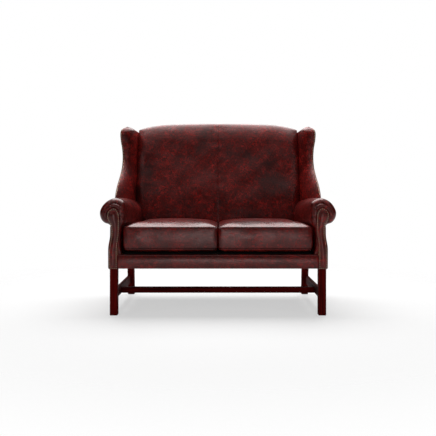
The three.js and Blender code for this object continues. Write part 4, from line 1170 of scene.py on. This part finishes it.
def facing_form(outline):
    """Keyhole facing with a rounded rim and a soft crown."""
    top = outline[:, 1].argmax()
    left, right = outline[:top + 1], outline[top:][::-1]
    share = (1 - np.cos(np.linspace(0, np.pi, 118))) / 2
    z = blend(outline[:, 1].min(), outline[top, 1], share)
    left_x, right_x = np.interp(z, left[:, 1], left[:, 0]), np.interp(z, right[:, 1], right[:, 0])
    u = (1 - np.cos(np.linspace(0, np.pi, 34))) / 2
    x = blend(left_x[:, None], right_x[:, None], u[None, :])
    z = z[:, None] * np.ones_like(x)
    inset, _ = distance_to(np.stack([x.ravel(), z.ravel()], axis=-1), outline)
    inset = inset.reshape(x.shape)
    swell = facing_swell(inset)
    flat = np.clip((inset - 7) / 5, 0, 1)
    for _ in range(10):
        middle = (swell[:-2, 1:-1] + swell[2:, 1:-1] + swell[1:-1, :-2] + swell[1:-1, 2:]) / 4
        swell[1:-1, 1:-1] = blend(swell[1:-1, 1:-1], middle, flat[1:-1, 1:-1])
    front = np.stack([x, -JOINT_GAP - swell, z], axis=-1)
    front[..., 1] += ripple(front, 60, 0.25, 61)
    rear = np.stack([x, np.full_like(x, -JOINT_GAP), z], axis=-1)
    return sheet_solid(front, rear)


class SETTEE_OT_facings(bpy.types.Operator):
    """Keyhole facings on the fronts of the arms, edged with close nails"""
    bl_idname = "settee.facings"
    bl_label = "Arm Facings"

    def execute(self, context):
        sizes = context.scene.settee_sizes
        outline = facing_outline()
        closed = np.vstack([outline, outline[:1]])
        along = np.roll(outline, -1, axis=0) - np.roll(outline, 1, axis=0)
        inward = np.stack([along[:, 1], -along[:, 0]], axis=-1)
        inward /= np.linalg.norm(inward, axis=1, keepdims=True)
        form = facing_form(outline + inward * 0.8)
        loop = outline + inward * FACING_NAIL_INSET
        keep = distance_to(loop, closed)[0] > FACING_NAIL_INSET - 0.3
        places, _ = even_steps(loop[keep], sizes.nail_pitch / MM, closed=True)
        row_y = -JOINT_GAP - facing_swell(FACING_NAIL_INSET) - 0.2
        heads = np.stack([places[:, 0], np.full(len(places), row_y), places[:, 1]], axis=-1)
        out = np.tile([0.0, -1.0, 0.0], (len(heads), 1))
        for label, side in SIDES.items():
            make_piece(f"arm_facing_{label}_panel", on_side(form, side), finish("Rubbed leather"),
                       replaces=[f"arm_facing_{label}"])
            make_piece(f"arm_facing_{label}_nails", on_side(nails(heads, out, sizes.nail_radius / MM), side),
                       finish("Antique bronze"))
        return {"FINISHED"}


class SETTEE_OT_front_border(bpy.types.Operator):
    """Padded leather over the front seat rail"""
    bl_idname = "settee.front_border"
    bl_label = "Front Border"

    def execute(self, context):
        rise = np.linspace(0, 1, 30)
        z = blend(263.5, 336.5, rise)
        swell = -5.2 - 7.2 * (1 - np.abs((z - 300) / 40) ** 2.2)
        over = np.array([(-3.2, 339.2), (0, 340.8), (4, 341.4), (9, 341.3), (13, 340.2), (15, 337.5), (15, 336.4),
                         (4.7, 336.4), (4.7, 262.4), (-2.5, 262.2)])
        profile = np.concatenate([np.stack([swell, z], axis=-1), over])
        last = np.array([556, 558.5, 560, BORDER_HALF_WIDTH])
        xs = np.concatenate([-last[::-1], np.linspace(-550, 550, 120), last])
        rings = []
        for x in xs:
            end = np.clip(1 - (BORDER_HALF_WIDTH - abs(x)) / 6, 0, 1)
            tuck = 3 * (1 - math.sqrt(1 - end * end))
            ring = np.stack([np.full(len(profile), x), profile[:, 0], profile[:, 1]], axis=-1)
            ring[:30, 1] += tuck
            rings.append(ring)
        grid = np.array(rings)
        grid[:, :30, 1] += ripple(grid[:, :30], 150, 0.5, 71)
        make_piece("front_border_padded", loft(grid), finish("Rubbed leather"), replaces=["front_border"])
        return {"FINISHED"}


WING_LEVELS = 70
WING_RISE = np.linspace(0, 1, WING_LEVELS)


def wing_at(kind, share, z, fullness, inset=0.0):
    """Place on the wing's section at a height: behind the seam, on the padded face, round its lip or outside."""
    edge_x, edge_y = wing_edge_x(z), wing_edge_y(z)
    rear = outside_back_y(z) - PANEL_GAP
    seam_y = outside_back_y(z) - back_face_depth(BACK_HALF_WIDTH, z) + 6
    nail_x = edge_x - WING_PANEL - WING_LIP
    if kind == "hidden":
        x, y = np.full_like(z, WING_SEAM_X), blend(rear, seam_y, share)
    elif kind == "inner":
        turn = math.pi / 2 * share
        low, middle, high = WING_SWELL
        swell = blend(blend(low, middle, ease((z - 830) / 120)), high, ease((z - 950) / 110))
        x = blend(WING_SEAM_X, nail_x, blend(share, 1 - math.cos(turn), swell))
        y = blend(seam_y, edge_y, blend(share, math.sin(turn), swell))
    elif kind == "lip":
        turn = math.pi / 2 * share
        x, y = nail_x + WING_LIP * math.sin(turn), edge_y + WING_LIP * (1 - math.cos(turn))
    else:
        y = blend(rear, edge_y + WING_LIP, share)
        x = wing_outer_x(y, z) - inset
    spine_y = np.clip(y, edge_y + WING_LOBE, rear)
    along = (rear - spine_y) / (rear - edge_y - WING_LOBE)
    spine_x = blend((WING_SEAM_X + WING_REAR_X - WING_PANEL) / 2, edge_x - WING_PANEL - WING_LOBE, along)
    return blend(spine_x, x, fullness), blend(spine_y, y, fullness)


def lobe_fullness(up):
    """Share of the wing's thickness that is left at a share of its rounded top."""
    return (1 - np.clip(up, 0, 1) ** 2.1) ** (1 / 2.1)


def wing_column(kind, share, inset=WING_PANEL, capped=True):
    """One upright line of a wing, from the arm to its rounded top."""
    high = np.array([1085.0])
    _, y = wing_at(kind, share, high, 1.0)
    rear = outside_back_y(high) - PANEL_GAP
    forward = float(np.clip((rear - y) / (rear - wing_edge_y(high)), 0, 1)[0])
    base = np.array([620.0])
    for _ in range(5):
        x, y = wing_at(kind, share, base, 1.0, inset)
        base = arm_top_z(x, np.minimum(y, ARM_TOP_YS[-1] - 1)) - WING_SUNK
    top, rounding = float(wing_top_at(np.array(forward))), blend(*WING_TOP_ROUNDING, forward**2.4)
    if capped:
        up = np.sin(np.linspace(0, np.pi / 2, 15))[1:] * 0.998
        z = np.concatenate([blend(base, top - rounding, WING_RISE), top - rounding * (1 - up)])
    else:
        z = blend(base, top - rounding * 0.35, WING_RISE)
    x, y = wing_at(kind, share, z, lobe_fullness(1 - (top - z) / rounding), inset)
    return np.stack([x, y, z], axis=-1)


def wing_pad_columns():
    columns = [wing_column("hidden", share) for share in (0, 0.5)]
    columns += [wing_column("inner", share) for share in np.linspace(0, 1, 44)]
    columns += [wing_column("lip", share) for share in np.linspace(0, 1, 6)[1:]]
    columns += [wing_column("outer", share) for share in np.linspace(1, 0, 30)]
    return np.array(columns)


def wing_panel_form():
    """Leather panel outside the wing."""
    shares = np.linspace(0, 1, 40)
    outer = np.array([wing_column("outer", share, 0.0, False) for share in shares])
    inner = np.array([wing_column("outer", share, WING_PANEL - 0.6, False) for share in shares])
    u = shares[:, None] * np.ones(WING_LEVELS)
    v = WING_RISE[None, :] * np.ones((40, 1))
    edge = np.minimum(np.minimum(u * 300, (1 - u) * 300), np.minimum(v, 1 - v) * 450)
    puff = 1.8 * (1 - np.exp(-edge / 18)) - 1.2 * np.exp(-edge / 3)
    outer[..., 0] += puff + ripple(outer, 160, 0.4, 81) * np.clip(edge / 40, 0, 1)
    return sheet_solid(outer, inner)


def roll_form():
    """The arm under a wing's foot, for cutting the foot to fit it."""
    rings = []
    for y in np.linspace(335, 800, 32):
        line = arm_outline(y, 140)
        rings.append(np.stack([line[:, 0], np.full(len(line), y), line[:, 1]], axis=-1))
    return loft(np.array(rings))


def wing_board_form():
    """Beech board inside the wing, bevelled along its inner front edge so that the leather lies flat over it."""
    outer_inset, thickness, front_inset = WING_BOARD
    shares = np.linspace(0, 1, 30)
    columns = []
    for share, inner in [(share, False) for share in shares] + [(share, True) for share in shares[::-1]]:

        def at(z):
            front, rear = wing_edge_y(z) + front_inset, outside_back_y(z) - BACK_REAR_DEPTH
            y = blend(rear, front, share)
            run = np.minimum(WING_BEVEL[1], 0.6 * (rear - front))
            left = thickness - WING_BEVEL[0] * np.clip(1 - (y - front) / run, 0, 1)
            return wing_outer_x(y, z) - outer_inset - (left if inner else 0), y

        base = np.array([640.0])
        for _ in range(5):
            x, y = at(base)
            base = arm_top_z(x, np.minimum(y, ARM_TOP_YS[-1] - 1)) - WING_SUNK
        high = np.array([1060.0])
        rear = outside_back_y(high)
        forward = np.clip((rear - at(high)[1]) / (rear - wing_edge_y(high)), 0, 1)
        z = blend(base, wing_top_at(forward) - 34, WING_RISE)
        x, y = at(z)
        columns.append(np.stack([x, y, z], axis=-1))
    return loft(np.swapaxes(np.array(columns), 0, 1))


class SETTEE_OT_wings(bpy.types.Operator):
    """Padded wings with the nails down their front edges, and the panels outside them"""
    bl_idname = "settee.wings"
    bl_label = "Wings"

    def execute(self, context):
        sizes = context.scene.settee_sizes
        columns = wing_pad_columns()
        edge = wing_column("lip", 0.0, capped=False)
        for label, side in SIDES.items():
            grid = columns.copy()
            padded = np.clip((len(grid) - 35 - np.arange(len(grid))) / 5, 0, 1)
            above = np.clip((grid[..., 2] - WING_SPRING_Z) / 60, 0, 1)
            grid[..., 0] += ripple(grid, 150, 0.5, 90 + side) * above * padded[:, None]
            rings = np.swapaxes(grid, 0, 1)
            # The wing pads wear the copy of the leather that is painted lighter, as painted light.
            pad = make_piece(f"wing_{label}_upholstered", on_side(loft(rings), side), finish("Wing leather with painted light"),
                             replaces=[f"inside_wing_{label}"])
            arm = on_side(roll_form(), side)
            board = make_piece(f"wing_frame_{label}_bevelled", on_side(wing_board_form(), side),
                               finish("Beech upright"), replaces=[f"wing_frame_{label}"], crease=30)
            carve(board, [arm], crease=30)
            panel = make_piece(f"outside_wing_{label}_panel", on_side(wing_panel_form(), side),
                               finish("Panel leather"), replaces=[f"outside_wing_{label}"])
            carve(panel, [arm])
            inside = (board, panel, f"back_post_{label}", "back_top_rail", "back_web_2", "back_web_3", "back_web_4")
            carve(pad, [form_of(source) for source in inside] + [arm])
            out = np.cross(np.gradient(edge, axis=0), (1.0, -0.12, 0.0))
            out *= np.sign(-out[:, 1:2])
            places, _ = even_steps(edge[6:], sizes.nail_pitch / MM)
            lined = np.stack([np.interp(places[:, 2], edge[:, 2], out[:, k]) for k in range(3)], axis=-1)
            lined /= np.linalg.norm(lined, axis=1, keepdims=True)
            heads = nails(places + lined * 0.3, lined, sizes.nail_radius / MM * 0.92)
            make_piece(f"wing_{label}_nails", on_side(heads, side), finish("Antique bronze"))
        return {"FINISHED"}


def cushion_outline():
    """Plan of the right cushion with rounded corners, turning from its inner front corner."""
    corners = np.array([(2.0, -4.0), (531.0, -4.0), (491.0, 548.0), (2.0, 548.0)])
    radius, points = 24.0, []
    for i, corner in enumerate(corners):
        before, after = corners[i - 1], corners[(i + 1) % 4]
        start = corner + (before - corner) / np.linalg.norm(before - corner) * radius
        end = corner + (after - corner) / np.linalg.norm(after - corner) * radius
        following = after + (corner - after) / np.linalg.norm(corner - after) * radius
        for t in np.linspace(0, 1, 12):
            points.append(blend(blend(start, corner, t), blend(corner, end, t), t))
        points += [blend(end, following, t) for t in np.linspace(0, 1, 42)[1:-1]]
    return np.array(points), np.array([267.5, 271.0])


def cushion_levels(bulge, crown):
    """Levels of the cushion: share of its plan, how far out of it, and height."""
    under = [(0.2, 0, 354.6), (0.6, 0, 354.6), (0.86, 0, 355.5), (0.94, 0, 358), (0.975, -2, 363), (1, -6, 369)]
    side = [(1, bulge * math.sin(math.pi * up), blend(CUSHION_LOWER_SEAM_Z, CUSHION_SEAM_Z - 1, up))
            for up in np.linspace(0, 1, 12)]
    top = [(share, -5 * share**8, CUSHION_SEAM_Z + crown * (1 - share**7))
           for share in (0.985, 0.96, 0.93, 0.89, 0.84, 0.77, 0.68, 0.55, 0.38, 0.15)]
    return under + side + top


def cushion_form(bulge, crown):
    outline, middle = cushion_outline()
    rings = []
    for share, outward, z in cushion_levels(bulge, crown):
        away = outline - middle
        reach = share + outward / np.linalg.norm(away, axis=1, keepdims=True)
        plan = middle + away * reach
        rings.append(np.column_stack([plan, np.full(len(plan), z)]))
    return loft(np.array(rings))


def filled(form, sizes):
    """Cushion cover blown up by its filling: a cloth simulation with the seams held, then smoothed once."""
    points, faces = form
    mesh = bpy.data.meshes.new("cushion cover")
    mesh.from_pydata(in_row(points).tolist(), [], faces)
    cover = new_object("cushion cover", mesh)
    remesh = cover.modifiers.new("Cells", "REMESH")
    remesh.mode = "VOXEL"
    remesh.voxel_size = sizes.cushion_voxel
    cover.data = with_modifiers(cover)
    cover.modifiers.clear()
    rest = mesh_points(cover.data)
    heights = rest[:, 2] / MM
    fixed = heights < CUSHION_BOTTOM_Z + 2
    for seam_z in (CUSHION_SEAM_Z, CUSHION_LOWER_SEAM_Z):
        fixed |= np.abs(heights - seam_z) < 4
    held = cover.vertex_groups.new(name="Seams")
    held.add(np.nonzero(fixed)[0].tolist(), 1.0, "REPLACE")
    cloth = cover.modifiers.new("Filling", "CLOTH")
    cloth.settings.use_pressure = True
    cloth.settings.uniform_pressure_force = sizes.cushion_pressure
    cloth.settings.effector_weights.gravity = 0
    cloth.settings.quality = 4
    cloth.settings.mass = 0.3
    cloth.settings.tension_stiffness = 12
    cloth.settings.compression_stiffness = 12
    cloth.settings.shear_stiffness = 6
    cloth.settings.bending_stiffness = 0.6
    cloth.settings.vertex_group_mass = held.name
    cloth.collision_settings.use_collision = False
    for step in range(1, FILLING_STEPS + 1):
        bpy.context.scene.frame_set(step)
    swollen = cover.evaluated_get(bpy.context.evaluated_depsgraph_get())
    moved = mesh_points(swollen.data) - rest
    cover.modifiers.clear()
    bpy.context.scene.frame_set(1)
    away = np.linalg.norm(moved, axis=1, keepdims=True)
    cap = sizes.cushion_rise
    moved *= cap * np.tanh(away / cap) / np.maximum(away, 1e-9)
    cover.data.vertices.foreach_set("co", (rest + moved).ravel())
    smooth = cover.modifiers.new("Smooth", "SUBSURF")
    smooth.levels = 1
    result = with_modifiers(cover)
    bpy.data.objects.remove(cover)
    return result


def mesh_points(mesh):
    points = np.zeros(len(mesh.vertices) * 3)
    mesh.vertices.foreach_get("co", points)
    return points.reshape(-1, 3)


def drawn_points(mesh):
    """Points of a mesh in the millimetres drawn here."""
    points = mesh_points(mesh)
    points[:, 1] -= FRONT_Y
    return points / MM


def dress_cushion(mesh, seed):
    """Seam grooves, settled creases and clearances on the filled cover, and the paths of its two seams."""
    points = drawn_points(mesh)
    _, middle = cushion_outline()
    flat = points[:, :2] - middle
    outward = flat / np.maximum(np.linalg.norm(flat, axis=1, keepdims=True), 1e-9)
    rim = np.clip((np.linalg.norm(flat, axis=1) - 200) / 40, 0, 1)
    for z in (CUSHION_SEAM_Z, CUSHION_LOWER_SEAM_Z):
        points[:, :2] -= outward * (2.4 * rim * np.exp(-(((points[:, 2] - z) / 3.4) ** 2)))[:, None]
    top = np.clip((points[:, 2] - 496) / 16, 0, 1)
    points[:, 2] += ripple(points, 170, 0.9, seed) * top + ripple(points, 62, 0.15, seed + 1) * top
    side = np.clip(1 - np.abs(points[:, 2] - 433) / 52, 0, 1)
    points[:, :2] += outward * (ripple(points * [1, 1, 0.6], 120, 1.3, seed + 2) * side)[:, None]
    outer_limit = blend(533.0, 493.0, np.clip(points[:, 1] / 552, 0, 1))
    points[:, 0] = np.clip(points[:, 0], 1.6, outer_limit)
    points[:, 1] = np.clip(points[:, 1], -10.5, 552.5)
    points[:, 2] = np.clip(points[:, 2], CUSHION_BOTTOM_Z + 0.3, CUSHION_TOP_Z + 3)
    mesh.vertices.foreach_set("co", in_row(points).ravel())
    mesh.update()
    tree = BVHTree.FromPolygons([Vector(p) for p in points], [tuple(face.vertices) for face in mesh.polygons])
    outline, _ = cushion_outline()
    paths = []
    for z in (CUSHION_SEAM_Z, CUSHION_LOWER_SEAM_Z):
        path = []
        for x, y in outline:
            way = Vector((x - middle[0], y - middle[1], 0)).normalized()
            hit = tree.ray_cast(Vector((x, y, z)) + way * 60, -way)[0]
            if hit is not None:
                path.append(np.array(hit) - np.array(way) * 0.2)
        paths.append(even_steps(np.array(path), 7, closed=True)[0])
    return paths


class SETTEE_OT_cushions(bpy.types.Operator):
    """Two loose seat cushions, filled by a cloth simulation, with piped seams"""
    bl_idname = "settee.cushions"
    bl_label = "Seat Cushions"

    def execute(self, context):
        sizes = context.scene.settee_sizes
        cover = filled(cushion_form(3, 26), sizes)
        for label, side in SIDES.items():
            mesh = cover.copy()
            paths = dress_cushion(mesh, 100 + side * 3)
            if side < 0:
                mesh.transform(((-1, 0, 0, 0), (0, 1, 0, 0), (0, 0, 1, 0), (0, 0, 0, 1)))
            shaped = bmesh.new()
            shaped.from_mesh(mesh)
            bmesh.ops.recalc_face_normals(shaped, faces=shaped.faces)
            for face in shaped.faces:
                face.smooth = True
            shaped.to_mesh(mesh)
            shaped.free()
            mesh.materials.clear()
            mesh.materials.append(finish("Cushion leather"))
            cushion = new_object(f"seat_cushion_{label}_filled", mesh)
            settle(cushion, f"{label}_cushion", [f"seat_cushion_{label}"])
            for name, path in zip(("top", "bottom"), paths):
                piping = on_side(tube(path, sizes.welt_radius / MM, closed=True), side)
                make_piece(f"seat_cushion_{label}_{name}_piping", piping, finish("Seam leather with painted shade"),
                           body=f"{label}_cushion")
        return {"FINISHED"}


def place_lamp(name, power, size, location, target, spread_angle=160):
    data = bpy.data.lights.new(name, "AREA")
    data.shape = "RECTANGLE"
    data.size, data.size_y = size
    data.energy = power
    data.spread = math.radians(spread_angle)
    lamp = new_object(name, data)
    lamp.location = location
    lamp.rotation_mode = "QUATERNION"
    lamp.rotation_quaternion = (Vector(target) - Vector(location)).to_track_quat("-Z", "Y")


def stage_mesh(name, points, faces, material):
    """Mesh that belongs to the studio and not to the settee."""
    mesh = bpy.data.meshes.new(name)
    mesh.from_pydata(np.array(points).reshape(-1, 3).tolist(), [], faces)
    mesh.materials.append(material)
    sheet = new_object(name, mesh)
    return sheet


class SETTEE_OT_stage(bpy.types.Operator):
    """Camera, soft lamps, pale surroundings and floor"""
    bl_idname = "settee.stage"
    bl_label = "Stage"

    def execute(self, context):
        scene, light = context.scene, context.scene.settee_light
        scene.view_settings.view_transform = "Standard"
        data = bpy.data.cameras.new("camera")
        data.sensor_width, data.lens, data.shift_y = 36, light.lens, light.shift
        data.clip_start, data.clip_end = 0.05, 60
        camera = new_object("camera", data)
        camera.location = (0, FRONT_Y - light.camera_distance, light.camera_height)
        camera.rotation_euler = (math.pi / 2, 0, 0)
        scene.camera = camera
        place_lamp("overhead lamp", light.key_power, (3.2, 2.6), (0, 0.95, 2.85), (0, 0, 0.6))
        place_lamp("front lamp", light.front_power, (2.0, 0.8), (0, -4.6, 0.45), (0, 0, 0.42))
        for side in SIDES.values():
            place_lamp("side lamp", light.side_power, (1.4, 1.2), (3.3 * side, -2.8, 2.1), (0, 0.1, 0.7))
        turns = np.radians(np.linspace(-150, 150, 61))
        foot = np.stack([np.sin(turns), -np.cos(turns), np.zeros(61)], axis=-1) * CURTAIN_RADIUS
        dark, _, _ = new_finish("Dark curtain", base_color=(0.01, 0.01, 0.01, 1), specular_ior_level=0)
        curtain = stage_mesh("dark curtain", [foot, foot + [0, 0, CURTAIN_HEIGHT]], grid_faces(2, 61), dark)
        curtain.visible_camera = curtain.visible_diffuse = curtain.visible_shadow = False
        world = bpy.data.worlds.new("surroundings")
        scene.world = world
        world.use_nodes = True
        tree = world.node_tree
        tree.nodes.clear()
        path = add_node(tree, "ShaderNodeLightPath").outputs
        mirrored = maths(tree, "MAXIMUM", path["Is Glossy Ray"], path["Is Transmission Ray"])
        shown = maths(tree, "MAXIMUM", path["Is Camera Ray"], mirrored)
        dim = add_node(tree, "ShaderNodeBackground", {"Color": (1, 1, 1, 1), "Strength": light.ambient})
        white = add_node(tree, "ShaderNodeBackground", {"Color": (1, 1, 1, 1), "Strength": 1.0})
        mixed = add_node(tree, "ShaderNodeMixShader", {0: shown, 1: dim.outputs[0], 2: white.outputs[0]})
        add_node(tree, "ShaderNodeOutputWorld", {"Surface": mixed.outputs[0]})
        material, tree, _ = new_finish("Studio floor", base_color=colour_of("floor"), roughness=0.9,
                                       specular_ior_level=0.0)
        shader = tree.nodes["Principled BSDF"]
        away = add_node(tree, "ShaderNodeVectorMath", {0: object_place(tree)}, operation="LENGTH").outputs["Value"]
        clear = add_node(tree, "ShaderNodeBsdfTransparent").outputs[0]
        fade = spread(tree, away, 1.0, 2.4)
        white = add_node(tree, "ShaderNodeEmission", {"Strength": 1.0}).outputs[0]
        seen = add_node(tree, "ShaderNodeLightPath").outputs["Is Camera Ray"]
        paler = add_node(tree, "ShaderNodeMixShader",
                         {0: times(tree, seen, FLOOR_PALENESS), 1: shader.outputs[0], 2: white})
        blended = add_node(tree, "ShaderNodeMixShader", {0: fade, 1: paler.outputs[0], 2: clear})
        tree.links.new(blended.outputs[0], tree.nodes["Material Output"].inputs["Surface"])
        turns = np.linspace(0, 2 * np.pi, 97)[:-1]
        rings = [[(r * math.cos(t), r * math.sin(t), 0) for t in turns] for r in (0.02, 0.5, 1, 2, 3.3)]
        stage_mesh("floor", rings, grid_faces(5, 96, around=True) + [tuple(range(96))], material)
        return {"FINISHED"}


OPERATORS = (
    SETTEE_OT_stage, SETTEE_OT_show_wood, SETTEE_OT_hidden_frame, SETTEE_OT_platform, SETTEE_OT_outside_back,
    SETTEE_OT_inside_back, SETTEE_OT_arms, SETTEE_OT_wings, SETTEE_OT_facings, SETTEE_OT_front_border,
    SETTEE_OT_cushions,
)
SETTINGS = {"settee_sizes": SetteeSizes, "settee_colours": SetteeColours, "settee_light": SetteeLight}


class SETTEE_PT_panel(bpy.types.Panel):
    """Lists the settee's pieces and what can be changed on them"""
    bl_idname = "SETTEE_PT_panel"
    bl_label = "High Back Settee"
    bl_space_type = "VIEW_3D"
    bl_region_type = "UI"
    bl_category = "Settee"

    def draw(self, context):
        for name, settings in SETTINGS.items():
            box = self.layout.box()
            for key in settings.__annotations__:
                box.prop(getattr(context.scene, name), key)
        for operator in OPERATORS:
            self.layout.operator(operator.bl_idname)


def register():
    for settings in (*SETTINGS.values(), *OPERATORS, SETTEE_PT_panel):
        bpy.utils.register_class(settings)
    for name, settings in SETTINGS.items():
        setattr(bpy.types.Scene, name, PointerProperty(type=settings))


def unregister():
    for name in SETTINGS:
        delattr(bpy.types.Scene, name)
    for settings in reversed((*SETTINGS.values(), *OPERATORS, SETTEE_PT_panel)):
        bpy.utils.unregister_class(settings)


def main():
    register()
    for operator in OPERATORS:
        group, name = operator.bl_idname.split(".")
        getattr(getattr(bpy.ops, group), name)()


if __name__ == "__main__":
    main()
